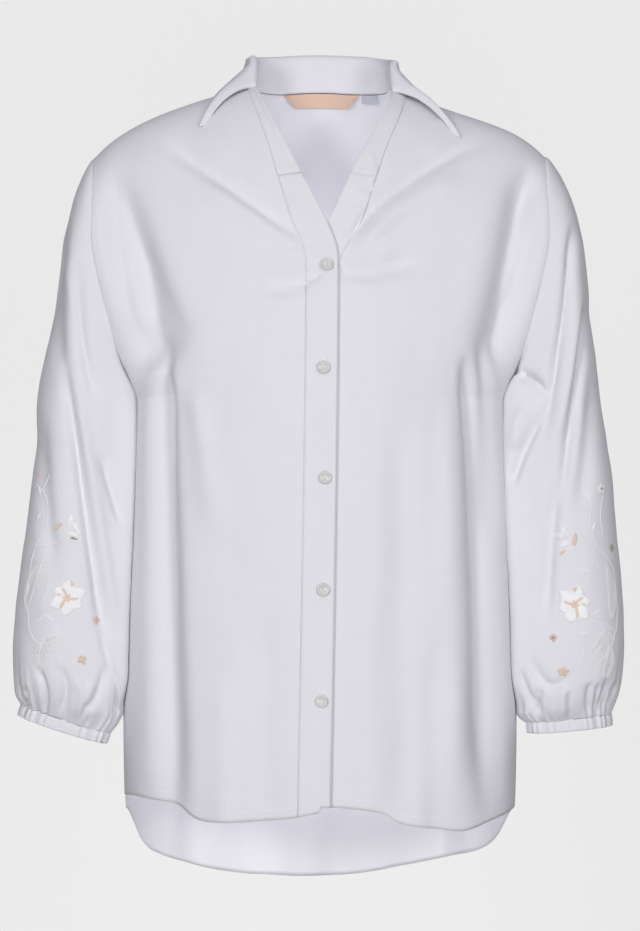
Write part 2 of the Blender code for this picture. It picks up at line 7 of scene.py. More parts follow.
import bpy
import numpy as np
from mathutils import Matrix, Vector


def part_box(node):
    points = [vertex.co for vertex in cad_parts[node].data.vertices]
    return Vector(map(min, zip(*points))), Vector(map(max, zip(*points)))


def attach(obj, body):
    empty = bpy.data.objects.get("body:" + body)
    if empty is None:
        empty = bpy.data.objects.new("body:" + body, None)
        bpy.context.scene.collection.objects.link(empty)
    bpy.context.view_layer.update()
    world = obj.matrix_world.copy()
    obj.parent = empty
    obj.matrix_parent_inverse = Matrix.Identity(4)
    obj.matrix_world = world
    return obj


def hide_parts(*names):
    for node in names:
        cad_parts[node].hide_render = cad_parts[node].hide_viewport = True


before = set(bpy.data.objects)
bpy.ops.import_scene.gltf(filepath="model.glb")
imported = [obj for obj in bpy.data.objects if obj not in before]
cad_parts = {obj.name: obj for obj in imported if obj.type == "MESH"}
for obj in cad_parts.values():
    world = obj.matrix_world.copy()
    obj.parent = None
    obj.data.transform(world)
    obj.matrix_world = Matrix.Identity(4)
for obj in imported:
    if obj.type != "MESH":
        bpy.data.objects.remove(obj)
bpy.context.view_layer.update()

RIGHT, LEFT = -1, 1
FRONT, BACK = -1, 1
SIDE_NAME = {RIGHT: "right", LEFT: "left"}

# Cloth and the heights at which things lie on it
CLOTH = 0.0007
COLLAR_CLOTH = 0.0010
RIBBON = 0.0006
BAND_OUT = 0.0010
STITCH_OUT = 0.00045
STITCH_LIFT = 0.0006
SEAM_GAP = 0.0003

# Shoulder, neck and armhole
SHOULDER_Z = -0.060
ARMHOLE_DROP = 0.2286
ARMHOLE_BOW = 0.020
UNDERARM_Z = SHOULDER_Z - ARMHOLE_DROP
NECK_RISE = 0.082
SHOULDER_SAG, SAG_PLACE = {RIGHT: -0.0015, LEFT: 0.0045}, 1.3
NECK_HALF_WIDTH = 0.066
BACK_NECK_TURN = 0.40 / math.pi
UNDERARM_EASE = 0.12
UNDERARM_BLUR = (-0.08, -0.05, -0.02, 0.02, 0.05, 0.08)
UNDERARM_REACH = 0.14
FULLNESS = {FRONT: 0.48, BACK: 0.21}
ROUNDNESS = 2.4
ARMHOLE_OUT, UNDERARM_OUT = 0.0001, 0.0003
SLEEVE_CLEARANCE = 0.0014

# The columns of a panel lie even round an arc of this turn, so they close up towards the sides
FAN = math.radians(78)

# Front opening
LAP_DEPTH = 0.0036
LAP_START, LAP_END, LAP_TOP = 0.055, 0.024, -0.085
BAND_SPLIT_Z = -0.080
BAND_JOIN = 0.004
FACING_STEP = {RIGHT: 0.0009, LEFT: 0.0005}
NECKLINE_ROLL = 0.0010
EDGE_FOLD = 0.0004
BUTTON_RADIUS = 0.0058
BUTTON_SINK = 0.0010
BUTTON_FACE = 0.0011
# Share of the radius and height of each step of the rim
BUTTON_RIM = ((0.56, 0.0012), (0.66, 0.0016), (0.76, 0.00205), (0.88, 0.0021),
              (0.96, 0.0018), (1.0, 0.0012), (0.97, 0.0006), (0.88, 0.0001))
HOLE_PLACE, HOLE_RADIUS, HOLE_DEPTH = 0.21, 0.105, 0.0010
BUTTONS = (
    ("z", "across"),
    (-0.1680, 0.34),
    (-0.2625, 0.42),
    (-0.3630, 0.33),
    (-0.4650, 0.33),
    (-0.5665, 0.32),
)

# Labels: place across, half width above and below, and drop
NECK_LABEL = (0.0015, 0.0375, 0.0255, 0.0135)
SIZE_LABEL = (0.0490, 0.0074, 0.0074, 0.0080)
LABEL_GAP, LABEL_SLOPE = 0.0019, 0.25

# Sleeve: its inner edge is fuller and lies nearer the body and the front, at LIP_TURN degrees
INNER_FULLNESS = 0.12
SLEEVE_CREASE_GAIN = 1.35
INNER_LIP = np.array([-0.0080, -0.0100, 0.0])
LIP_TURN, LIP_WIDTH = 152, 20
SET_IN = 0.2
TUCK_START, TUCK_LENGTH = 0.972, 0.026

# Wrist
GATHERS = 12
GATHER_DEPTH = 0.0019
CUFF_HEIGHT = 0.0108
CUFF_TOP_OUT = 0.0001

ARMHOLE = (
    ("drop", "half_width", "spread"),
    (0.00, 0.2130, 0.285),
    (0.15, 0.2128, 0.276),
    (0.35, 0.2130, 0.260),
    (0.50, 0.2070, 0.241),
    (0.70, 0.1965, 0.2120),
    (0.88, 0.1850, 0.1880),
    (0.95, 0.1790, 0.1800),
    (1.00, 0.1750, 0.1750),
)
BODY = (
    ("z", "half_width", "front", "back"),
    (-0.760, 0.1800, 0.119, 0.109),
    (-0.700, 0.1830, 0.120, 0.111),
    (-0.660, 0.1850, 0.122, 0.112),
    (-0.594, 0.1860, 0.124, 0.112),
    (-0.490, 0.1845, 0.124, 0.111),
    (-0.420, 0.1810, 0.124, 0.110),
    (-0.350, 0.1775, 0.123, 0.109),
    (UNDERARM_Z, 0.1750, 0.121, 0.108),
)
HEM = (
    ("reach", "front_right", "front_left", "back_right", "back_left"),
    (-0.15, -0.6660, -0.6655, -0.7555, -0.7555),
    (0.00, -0.6690, -0.6640, -0.7555, -0.7555),
    (0.16, -0.6745, -0.6655, -0.7555, -0.7545),
    (0.32, -0.6775, -0.6705, -0.7540, -0.7500),
    (0.40, -0.6780, -0.6795, -0.7530, -0.7465),
    (0.60, -0.6770, -0.6860, -0.7465, -0.7385),
    (0.72, -0.6650, -0.6885, -0.7395, -0.7325),
    (0.86, -0.6610, -0.6820, -0.7290, -0.7245),
    (0.94, -0.6595, -0.6770, -0.7140, -0.7085),
    (1.00, -0.6620, -0.6730, -0.6770, -0.6770),
)
FRONT_EDGE = (
    ("z", "right_x", "right_band", "left_x", "left_band"),
    (-0.700, 0.0085, 0.030, -0.0190, 0.030),
    (-0.400, 0.0140, 0.030, -0.0145, 0.030),
    (-0.170, 0.0165, 0.030, -0.0130, 0.030),
    (-0.150, 0.0150, 0.031, -0.0060, 0.031),
    (-0.124, 0.0050, 0.032, 0.0085, 0.031),
    (-0.080, -0.0176, 0.023, 0.0290, 0.025),
    (-0.052, -0.0318, 0.017, 0.0440, 0.020),
    (-0.022, -0.0470, 0.012, 0.0600, 0.016),
    (0.001, -0.0580, 0.010, 0.0690, 0.013),
    (0.012, -0.0655, 0.009, 0.0715, 0.011),
)
SLEEVE = (
    ("along", "outer_right", "outer_left", "outer_z", "inner_z", "front", "back"),
    (0.00, 0.2130, 0.2130, -0.0600, -0.2886, -0.058, 0.062),
    (0.06, 0.2225, 0.2215, -0.0640, -0.2930, -0.060, 0.064),
    (0.12, 0.2290, 0.2330, -0.0830, -0.2975, -0.062, 0.064),
    (0.18, 0.2360, 0.2405, -0.1080, -0.3030, -0.063, 0.063),
    (0.24, 0.2435, 0.2475, -0.1380, -0.3090, -0.063, 0.061),
    (0.30, 0.2475, 0.2530, -0.1760, -0.3180, -0.062, 0.059),
    (0.36, 0.2530, 0.2555, -0.2140, -0.3300, -0.062, 0.056),
    (0.42, 0.2605, 0.2610, -0.2520, -0.3460, -0.062, 0.053),
    (0.48, 0.2670, 0.2655, -0.2900, -0.3660, -0.063, 0.050),
    (0.54, 0.2680, 0.2705, -0.3280, -0.3900, -0.065, 0.047),
    (0.60, 0.2720, 0.2755, -0.3660, -0.4170, -0.067, 0.044),
    (0.66, 0.2755, 0.2785, -0.4040, -0.4460, -0.069, 0.042),
    (0.72, 0.2810, 0.2825, -0.4420, -0.4760, -0.070, 0.041),
    (0.79, 0.2860, 0.2855, -0.4820, -0.5090, -0.071, 0.040),
    (0.86, 0.2890, 0.2865, -0.5200, -0.5410, -0.070, 0.039),
    (0.92, 0.2885, 0.2840, -0.5500, -0.5690, -0.067, 0.035),
    (1.00, 0.2855, 0.2785, -0.5740, -0.5920, -0.058, 0.026),
)
CUFF = {
    RIGHT: {"outer": (0.2805, -0.5770), "inner": (0.2005, -0.6030), "front": -0.050, "back": 0.018},
    LEFT: {"outer": (0.2735, -0.5860), "inner": (0.1975, -0.5930), "front": -0.050, "back": 0.018},
}
COLLAR = (
    ("station", "stand", "lean", "edge_x_right", "edge_x_left", "edge_turn", "lift"),
    (0.00, 0.0350, 0.0090, 0.0000, 0.0000, 0.200, 0.0040),
    (0.25, 0.0345, 0.0070, 0.0380, 0.0370, 0.185, 0.0045),
    (0.50, 0.0290, 0.0010, 0.0720, 0.0700, 0.130, 0.0045),
    (0.70, 0.0220, -0.0020, 0.0875, 0.0890, 0.040, 0.0040),
    (0.85, 0.0140, -0.0010, 0.0980, 0.1020, -0.085, 0.0035),
    (1.00, 0.0022, 0.0015, 0.1125, 0.1310, -0.205, 0.0026),
)
NECK_FRONT_TURN = 0.075
COLLAR_BULGE, COLLAR_FRONT_BULGE = 0.003, 0.010
COLLAR_TURN_UNDER = 0.013

# Creases of the body, each along a bent line seen straight on: a positive depth stands out, a
# negative one sinks in, and lean makes the side away from the wearer's left the steeper one
FRONT_CREASES = (
    ("x0", "z0", "x1", "z1", "x2", "z2", "width0", "width2", "depth", "lean"),
    (-0.150, -0.045, -0.084, -0.092, -0.020, -0.142, 0.008, 0.0050, -0.0062, 0.4),
    (-0.118, -0.088, -0.060, -0.124, -0.012, -0.160, 0.009, 0.0050, 0.0056, 0.0),
    (0.164, -0.040, 0.070, -0.094, 0.024, -0.150, 0.008, 0.0030, -0.0075, -0.5),
    (0.140, -0.084, 0.078, -0.114, 0.032, -0.160, 0.008, 0.0045, 0.0050, 0.0),
    (-0.060, -0.188, -0.022, -0.184, 0.003, -0.170, 0.007, 0.0036, -0.0080, 0.0),
    (-0.062, -0.170, -0.030, -0.172, -0.010, -0.166, 0.006, 0.0035, 0.0028, 0.0),
    (0.096, -0.160, 0.052, -0.173, 0.015, -0.172, 0.007, 0.0034, -0.0080, 0.0),
    (0.074, -0.150, 0.045, -0.161, 0.020, -0.164, 0.006, 0.0035, 0.0026, 0.0),
    (0.034, -0.090, 0.046, -0.096, 0.060, -0.088, 0.003, 0.0030, -0.0016, 0.0),
    (0.024, -0.104, 0.036, -0.110, 0.050, -0.106, 0.003, 0.0030, -0.0016, 0.0),
    (0.044, -0.060, 0.050, -0.078, 0.046, -0.094, 0.003, 0.0030, 0.0014, 0.0),
    (-0.034, -0.098, -0.022, -0.102, -0.008, -0.098, 0.003, 0.0030, -0.0010, 0.0),
    (-0.196, -0.066, -0.166, -0.185, -0.148, -0.272, 0.018, 0.027, -0.0215, 0.4),
    (-0.173, -0.128, -0.152, -0.188, -0.120, -0.246, 0.010, 0.014, -0.0045, 0.0),
    (-0.196, -0.090, -0.181, -0.160, -0.170, -0.245, 0.009, 0.008, 0.0070, 0.0),
    (0.199, -0.062, 0.181, -0.165, 0.161, -0.280, 0.018, 0.024, -0.0205, -0.4),
    (0.207, -0.092, 0.194, -0.140, 0.180, -0.210, 0.008, 0.008, 0.0065, 0.0),
    (0.203, -0.130, 0.195, -0.160, 0.186, -0.192, 0.004, 0.005, -0.0030, 0.0),
    (-0.142, -0.244, -0.140, -0.400, -0.131, -0.740, 0.006, 0.018, -0.0140, 0.7),
    (-0.160, -0.262, -0.158, -0.430, -0.150, -0.730, 0.007, 0.012, 0.0022, 0.0),
    (-0.117, -0.275, -0.106, -0.340, -0.096, -0.420, 0.008, 0.014, 0.0036, 0.0),
    (0.129, -0.248, 0.144, -0.390, 0.152, -0.720, 0.006, 0.016, -0.0130, -0.6),
    (0.153, -0.230, 0.156, -0.310, 0.164, -0.440, 0.006, 0.009, -0.0062, 0.0),
    (0.116, -0.275, 0.120, -0.420, 0.124, -0.680, 0.010, 0.014, 0.0040, 0.0),
    (0.073, -0.290, 0.076, -0.480, 0.078, -0.720, 0.016, 0.019, -0.0055, 0.0),
    (-0.049, -0.470, -0.052, -0.600, -0.056, -0.730, 0.014, 0.018, -0.0042, 0.0),
    (-0.088, -0.540, -0.087, -0.620, -0.083, -0.740, 0.012, 0.016, 0.0036, 0.0),
    (0.036, -0.430, 0.038, -0.560, 0.036, -0.730, 0.012, 0.015, 0.0024, 0.0),
    (0.104, -0.500, 0.106, -0.610, 0.108, -0.740, 0.010, 0.014, -0.0034, 0.0),
    (-0.020, -0.200, -0.026, -0.235, -0.030, -0.290, 0.007, 0.012, -0.0016, 0.0),
    (-0.100, -0.020, -0.098, -0.042, -0.078, -0.070, 0.007, 0.009, 0.0018, 0.0),
    (0.110, -0.022, 0.112, -0.040, 0.096, -0.066, 0.007, 0.009, 0.0018, 0.0),
)
BACK_CREASES = (
    ("x0", "z0", "x1", "z1", "x2", "z2", "width0", "width2", "depth", "lean"),
    (-0.086, -0.160, -0.098, -0.420, -0.096, -0.840, 0.012, 0.019, -0.0085, 0.3),
    (0.098, -0.180, 0.088, -0.450, 0.090, -0.840, 0.012, 0.020, -0.0090, -0.3),
    (-0.018, -0.340, -0.010, -0.560, -0.012, -0.840, 0.014, 0.022, -0.0055, 0.0),
    (0.040, -0.240, 0.046, -0.430, 0.040, -0.820, 0.014, 0.018, 0.0042, 0.0),
    (-0.055, -0.260, -0.050, -0.480, -0.058, -0.820, 0.014, 0.018, 0.0045, 0.0),
    (-0.146, -0.250, -0.140, -0.420, -0.144, -0.800, 0.009, 0.014, -0.0080, 0.4),
    (0.149, -0.240, 0.140, -0.460, 0.143, -0.800, 0.009, 0.014, -0.0082, -0.4),
    (-0.188, -0.080, -0.172, -0.150, -0.148, -0.255, 0.011, 0.014, -0.0075, 0.0),
    (0.188, -0.080, 0.174, -0.160, 0.150, -0.255, 0.011, 0.014, -0.0078, 0.0),
    (-0.170, -0.070, -0.110, -0.110, -0.040, -0.124, 0.008, 0.012, -0.0034, 0.0),
    (0.172, -0.074, 0.104, -0.100, 0.044, -0.130, 0.008, 0.012, -0.0032, 0.0),
    (-0.150, -0.110, -0.094, -0.146, -0.030, -0.160, 0.008, 0.012, 0.0024, 0.0),
    (0.156, -0.112, 0.100, -0.150, 0.030, -0.166, 0.008, 0.012, 0.0026, 0.0),
    (0.006, -0.560, 0.014, -0.690, 0.012, -0.840, 0.012, 0.018, 0.0040, 0.0),
    (0.120, -0.520, 0.116, -0.640, 0.118, -0.820, 0.011, 0.015, 0.0040, 0.0),
    (-0.120, -0.540, -0.118, -0.660, -0.121, -0.820, 0.011, 0.015, 0.0036, 0.0),
)

# Creases of the sleeves' visible side, seen straight on, with x measured outwards
SLEEVE_CREASES = {
    RIGHT: (
        ("x0", "z0", "x1", "z1", "x2", "z2", "width", "depth"),
        (0.243, -0.235, 0.217, -0.395, 0.199, -0.530, 0.0055, -0.0062),
        (0.233, -0.250, 0.207, -0.400, 0.190, -0.510, 0.0060, 0.0030),
        (0.204, -0.338, 0.195, -0.372, 0.183, -0.412, 0.0045, -0.0042),
        (0.236, -0.096, 0.247, -0.190, 0.242, -0.270, 0.0080, -0.0034),
        (0.226, -0.150, 0.221, -0.235, 0.204, -0.300, 0.0060, -0.0036),
        (0.262, -0.300, 0.257, -0.380, 0.246, -0.455, 0.0080, -0.0026),
        (0.267, -0.536, 0.256, -0.560, 0.259, -0.586, 0.0032, -0.0034),
        (0.244, -0.536, 0.236, -0.560, 0.246, -0.586, 0.0036, -0.0034),
        (0.201, -0.534, 0.206, -0.562, 0.226, -0.586, 0.0040, -0.0036),
        (0.189, -0.549, 0.190, -0.573, 0.194, -0.594, 0.0032, -0.0030),
        (0.204, -0.503, 0.196, -0.536, 0.187, -0.562, 0.0040, -0.0032),
        (0.277, -0.556, 0.274, -0.570, 0.276, -0.582, 0.0028, -0.0026),
        (0.228, -0.548, 0.222, -0.566, 0.229, -0.590, 0.0036, 0.0024),
        (0.211, -0.550, 0.215, -0.570, 0.212, -0.590, 0.0040, 0.0024),
    ),
    LEFT: (
        ("x0", "z0", "x1", "z1", "x2", "z2", "width", "depth"),
        (0.236, -0.118, 0.228, -0.205, 0.204, -0.345, 0.0050, -0.0060),
        (0.244, -0.170, 0.234, -0.262, 0.213, -0.345, 0.0060, 0.0030),
        (0.249, -0.192, 0.240, -0.270, 0.220, -0.405, 0.0046, -0.0056),
        (0.219, -0.366, 0.214, -0.425, 0.207, -0.505, 0.0060, -0.0050),
        (0.181, -0.268, 0.196, -0.270, 0.213, -0.292, 0.0042, -0.0062),
        (0.212, -0.294, 0.190, -0.338, 0.178, -0.376, 0.0045, -0.0052),
        (0.196, -0.288, 0.186, -0.312, 0.182, -0.340, 0.0070, 0.0036),
        (0.256, -0.250, 0.250, -0.330, 0.240, -0.400, 0.0075, -0.0026),
        (0.187, -0.536, 0.194, -0.565, 0.213, -0.588, 0.0038, -0.0034),
        (0.194, -0.518, 0.212, -0.556, 0.238, -0.538, 0.0045, -0.0030),
        (0.252, -0.552, 0.250, -0.568, 0.251, -0.586, 0.0030, -0.0032),
        (0.260, -0.552, 0.258, -0.568, 0.256, -0.586, 0.0028, -0.0026),
        (0.270, -0.548, 0.266, -0.566, 0.262, -0.586, 0.0030, -0.0032),
        (0.276, -0.552, 0.272, -0.568, 0.269, -0.584, 0.0026, -0.0026),
        (0.230, -0.556, 0.226, -0.570, 0.228, -0.590, 0.0040, 0.0026),
        (0.205, -0.556, 0.203, -0.572, 0.200, -0.590, 0.0034, -0.0028),
    ),
}

# Creases of the sleeves' hidden side: degrees run from the outside over the front (90), the inside
# (180) and the back (270)
HIDDEN_SLEEVE_CREASES = (
    ("along0", "turn0", "along1", "turn1", "width", "depth"),
    (0.12, 235, 0.44, 206, 9, -0.0045),
    (0.30, 250, 0.66, 214, 11, -0.0060),
    (0.46, 300, 0.86, 262, 11, -0.0060),
    (0.56, 244, 0.82, 236, 9, -0.0035),
    (0.62, 326, 0.90, 318, 9, -0.0030),
    (0.84, 222, 1.00, 230, 6, -0.0030),
    (0.80, 252, 1.00, 262, 7, 0.0028),
    (0.84, 284, 1.00, 276, 6, -0.0034),
    (0.86, 312, 1.00, 306, 6, -0.0030),
    (0.88, 338, 1.00, 342, 6, -0.0026),
    (0.88, 192, 1.00, 198, 6, -0.0024),
)

# Long gentle waves that keep the cloth from lying dead smooth: wave lengths, direction and height
WAVER = (
    ("length", "heading", "start", "height"),
    (0.110, 82, 0.3, 0.00045),
    (0.074, 64, 1.9, 0.00030),
    (0.053, 108, 4.1, 0.00024),
    (0.038, 20, 2.6, 0.00012),
    (0.029, 96, 5.2, 0.00010),
    (0.022, 137, 0.9, 0.00006),
)


def spread(first, last, count):
    """Even steps from one value to another."""
    return np.linspace(first, last, count)


def ease(value):
    """Smooth step from 0 to 1."""
    value = np.clip(value, 0.0, 1.0)
    return value * value * (3 - 2 * value)


def curve(low, high, slope_low, slope_high, step, q):
    """Smooth curve between two values, with a slope at each and q from 0 to 1 between them."""
    return (
        low * (1 + 2 * q) * (1 - q) ** 2
        + slope_low * step * q * (1 - q) ** 2
        + high * q * q * (3 - 2 * q)
        - slope_high * step * q * q * (1 - q)
    )


def read(table, name, at):
    """Values of a named column at places along the first column, on a smooth curve."""
    rows = np.array(table[1:], float)
    keys, values = rows[:, 0], rows[:, table[0].index(name)]
    before = np.maximum(np.arange(len(keys)) - 1, 0)
    after = np.minimum(np.arange(len(keys)) + 1, len(keys) - 1)
    slopes = (values[after] - values[before]) / (keys[after] - keys[before])
    at = np.clip(at, keys[0], keys[-1])
    k = np.clip(np.searchsorted(keys, at, side="left") - 1, 0, len(keys) - 2)
    step = keys[k + 1] - keys[k]
    return curve(values[k], values[k + 1], slopes[k], slopes[k + 1], step, (at - keys[k]) / step)


def both(first, second):
    """Two arrays of numbers, brought to one shape."""
    return np.broadcast_arrays(np.asarray(first, float), np.asarray(second, float))


def normalized(vectors):
    """Vectors made one long."""
    return vectors / np.maximum(np.linalg.norm(vectors, axis=-1, keepdims=True), 1e-12)


def shoulder_slope(reach):
    """Share of the fall from the neck to the shoulder point, rounded off at the tip."""
    soft = 0.12
    ramp = (np.hypot(reach, soft) - soft) / (math.hypot(1, soft) - soft)
    return 0.75 * ramp + 0.25 * reach ** 8


def body_surface(face, v, reach):
    """Points of the smooth body: v is 0 at the shoulder, 1 at the underarm and 2 at the hem."""
    v, reach = both(v, reach)
    centre = "front" if face == FRONT else "back"
    upper = v <= 1
    leftward = reach > 0
    drop = (1 - np.cos(np.pi * np.clip(v, 0, 1))) / 2
    out = np.minimum(np.abs(reach), 1.0)
    sag = np.where(leftward, SHOULDER_SAG[LEFT], SHOULDER_SAG[RIGHT])
    rise = NECK_RISE * (1 - drop) ** 1.5 * (1 - shoulder_slope(out))
    rise -= sag * (1 - drop) ** 2 * np.sin(np.pi * out ** SAG_PLACE) ** 2
    hem = np.where(leftward, read(HEM, centre + "_left", out), read(HEM, centre + "_right", out))
    low = UNDERARM_Z + (hem - UNDERARM_Z) * (v - 1)
    z = np.where(upper, SHOULDER_Z - drop * ARMHOLE_DROP + rise, low)
    half_width = np.where(upper, read(ARMHOLE, "half_width", drop), read(BODY, "half_width", z))
    spread = np.where(upper, read(ARMHOLE, "spread", drop), half_width)
    full = read(BODY, centre, UNDERARM_Z) * (1 - (1 - drop) ** 1.6) ** FULLNESS[face]
    depth = np.where(upper, full, read(BODY, centre, z))
    x = half_width * reach
    depth = depth * np.maximum(0.0, 1 - np.abs(x / spread) ** ROUNDNESS) ** (1 / ROUNDNESS)
    return np.stack([x, face * (depth + SEAM_GAP / 2), z], -1)


def bent_line(x0, z0, x1, z1, x2, z2, count=14):
    """Points of a smooth line through its start, near its middle and to its end."""
    q = spread(0, 1, count)[:, None]
    start, middle, end = np.array([x0, z0]), np.array([x1, z1]), np.array([x2, z2])
    pull = 2 * middle - (start + end) / 2
    return start * (1 - q) ** 2 + 2 * pull * q * (1 - q) + end * q ** 2


def nearest_on_line(line, x, z):
    """Share along a line of its nearest place, and the distance aside, signed."""
    best = np.full(x.shape, 1e9)
    share, aside = np.zeros(x.shape), np.zeros(x.shape)
    for k in range(len(line) - 1):
        run = line[k + 1] - line[k]
        length = float(np.hypot(*run))
        q = np.clip(((x - line[k][0]) * run[0] + (z - line[k][1]) * run[1]) / length ** 2, 0, 1)
        gap_x, gap_z = x - line[k][0] - run[0] * q, z - line[k][1] - run[1] * q
        distance = np.hypot(gap_x, gap_z)
        closer = distance < best
        best = np.where(closer, distance, best)
        share = np.where(closer, (k + q) / (len(line) - 1), share)
        aside = np.where(closer, np.sign(gap_x * run[1] - gap_z * run[0]) * distance, aside)
    return share, aside


def crease_height(creases, x, z):
    """Height of a table of creases at places seen straight on."""
    height = np.zeros(x.shape)
    for x0, z0, x1, z1, x2, z2, width0, width2, depth, lean in creases[1:]:
        share, aside = nearest_on_line(bent_line(x0, z0, x1, z1, x2, z2), x, z)
        width = width0 + (width2 - width0) * share
        fade = ease(share / 0.25) * ease((1 - share) / 0.2)
        off = aside / width
        height += depth * fade * np.exp(-off ** 2) * (1 + lean * off)
    return height


def waver(x, z):
    """Height of the long gentle waves."""
    height = np.zeros(x.shape)
    for length, heading, start, wave in WAVER[1:]:
        turn = math.radians(heading)
        place = x * math.sin(turn) + z * math.cos(turn)
        height += wave * np.sin(place * 2 * math.pi / length + start)
    return height


def normal_at(face, v, reach):
    """Outward normals of the smooth body."""
    down = body_surface(face, v + 0.01, reach) - body_surface(face, v - 0.01, reach)
    across = body_surface(face, v, reach + 0.01) - body_surface(face, v, reach - 0.01)
    return normalized(np.cross(across, down) * face)


def body_normal(face, v, reach):
    """Outward normals, eased over the row of the underarm where the two halves of the body meet."""
    v, reach = both(v, reach)
    v, near = np.clip(v, 0.02, 1.98), np.clip(reach, -0.985, 0.985)
    above, below = 1 - UNDERARM_EASE, 1 + UNDERARM_EASE
    plain = normal_at(face, np.where(np.abs(v - 1) < 0.012, below, v), near)
    share = ease((v - above) / (below - above))[..., None]
    eased = normal_at(face, above, near) * (1 - share) + normal_at(face, below, near) * share
    inside = (np.abs(v - 1) < UNDERARM_EASE)[..., None]
    return normalized(np.where(inside, eased, plain))


def body(face, v, reach, out=0.0):
    """Points of the draped body, moved out along the normal."""
    v, reach = both(v, reach)
    point = body_surface(face, v, reach)
    depths = [body_surface(face, v + step, reach)[..., 1] for step in UNDERARM_BLUR]
    around = sum(depths) / len(depths)
    point[..., 1] += (around - point[..., 1]) * np.exp(-((v - 1) / UNDERARM_REACH) ** 4)
    fade = ease((1 - np.abs(reach)) / 0.10) * ease(v / 0.12)
    creases = FRONT_CREASES if face == FRONT else BACK_CREASES
    x, z = point[..., 0], point[..., 2]
    height = crease_height(creases, x, z) + waver(x, z)
    return point + body_normal(face, v, reach) * (height * fade + out)[..., None]


def reach_of(face, v, x):
    """Share of the half width at which the body has this x, on row v."""
    reach = np.zeros(np.broadcast(v, x).shape)
    for _ in range(6):
        point = body_surface(face, v, reach)
        wide = body_surface(face, v, np.full(reach.shape, 0.5))[..., 0] / 0.5
        wide = np.where(np.asarray(v) > 1, read(BODY, "half_width", point[..., 2]), wide)
        reach = x / wide
    return reach


def front_edge_rows(side, share):
    """Reach of a front's free edge (share 0) or of its band's other edge (share 1) on every row."""
    name = SIDE_NAME[side]
    reach = np.zeros(EDGE_ROWS.shape)
    for _ in range(8):
        z = body_surface(FRONT, EDGE_ROWS, reach)[..., 2]
        x = read(FRONT_EDGE, name + "_x", z) + side * share * read(FRONT_EDGE, name + "_band", z)
        reach = reach_of(FRONT, EDGE_ROWS, x)
    return reach


EDGE_ROWS = spread(0, 2, 801)
EDGE_SHARES = (0.0, 0.5, 1.0)
EDGE_REACH = {
    (side, share): front_edge_rows(side, share) for side in (RIGHT, LEFT) for share in EDGE_SHARES
}


def front_point(side, v, across, out=0.0):
    """Points of a front: across is 0 at its free edge, 1 at the band's seam and 2 at the side."""
    v, across = both(v, across)
    edge, middle, seam = (np.interp(v, EDGE_ROWS, EDGE_REACH[side, share]) for share in EDGE_SHARES)
    inner = np.arcsin(seam * side * math.sin(FAN))
    panel = side * np.sin(inner + (FAN - inner) * (across - 1)) / math.sin(FAN)
    q = np.clip(across, 0, 1)
    band = edge * (1 - q) * (1 - 2 * q) + middle * 4 * q * (1 - q) + seam * q * (2 * q - 1)
    reach = np.where(across <= 1, band, panel)
    point = body(FRONT, v, reach, out)
    if side == LEFT:
        below = ease((LAP_START - point[..., 0]) / (LAP_START - LAP_END))
        point[..., 1] += LAP_DEPTH * below * ease((LAP_TOP - point[..., 2]) / 0.05)
    return point


EDGE_Z = {side: front_point(side, EDGE_ROWS, 0.0)[:, 2] for side in (RIGHT, LEFT)}


def row_at(side, z):
    """Row value at which a front's free edge has this height."""
    return np.interp(-np.asarray(z), -EDGE_Z[side], EDGE_ROWS)


def back_neck_turn(x):
    """Row value of the back's neck edge at this x."""
    share = np.minimum(1.0, np.abs(x) / NECK_HALF_WIDTH)
    return BACK_NECK_TURN * np.sqrt(1 - share ** 2)


def neck_edge(side, station):
    """Neck seam from the centre back (0) past the neck point (0.6) to the front end (1)."""
    if station <= 0.6:
        x = NECK_HALF_WIDTH * math.sin(math.pi / 2 * station / 0.6)
        v = float(back_neck_turn(x))
        return body(BACK, v, side * float(reach_of(BACK, v, np.array(x))))
    return front_point(side, NECK_FRONT_TURN * (station - 0.6) / 0.4, 0.0)


def ring(outer, inner, half, turn):
    """Points of a rounded section between its outer and inner ends."""
    middle, reach = (outer + inner) / 2, (outer - inner) / 2
    fuller = np.cos(turn) + INNER_FULLNESS * np.sin(2 * turn) * (1 - np.cos(turn)) / 2
    point = middle + reach * fuller[..., None]
    point[..., 1] -= half * np.sin(turn)
    return point


def plain_sleeve(side, along, turn):
    """Points of a sleeve without its creases, x measured outwards."""
    along, turn = both(along, turn)
    inner_z = read(SLEEVE, "inner_z", along)
    outer_x = read(SLEEVE, "outer_" + SIDE_NAME[side], along)
    front, back = read(SLEEVE, "front", along), read(SLEEVE, "back", along)
    middle_y = (front + back) / 2
    outer = np.stack([outer_x, middle_y, read(SLEEVE, "outer_z", along)], -1)
    inner = np.stack([read(BODY, "half_width", inner_z) + SLEEVE_CLEARANCE, middle_y, inner_z], -1)
    point = ring(outer, inner, (back - front) / 2, turn)
    point[..., 0] += ARMHOLE_BOW * np.sin(turn) ** 2 * (1 - ease(along / 0.55))
    rows = np.arccos(np.clip(np.cos(turn), -1, 1)) / np.pi
    in_front = (np.sin(turn) >= 0)[..., None]
    seam = np.where(in_front, body_surface(FRONT, rows, 1.0), body_surface(BACK, rows, 1.0))
    seam[..., 0] += ARMHOLE_OUT + UNDERARM_OUT * ease((rows - 0.55) / 0.35)
    set_in = ease(along / SET_IN)[..., None]
    point = seam * (1 - set_in) + point * set_in
    lip = np.exp(-((np.degrees(turn) % 360 - LIP_TURN) / LIP_WIDTH) ** 2)
    lip = lip * ease((along - 0.015) / 0.10) * ease((0.96 - along) / 0.1)
    point = point + lip[..., None] * INNER_LIP
    tuck = ease((along - TUCK_START) / TUCK_LENGTH)[..., None]
    wrist = wrist_ring(side, 0.0, 0.0, turn, smooth=True) * np.array([side, 1, 1])
    return point * (1 - tuck) + wrist * tuck


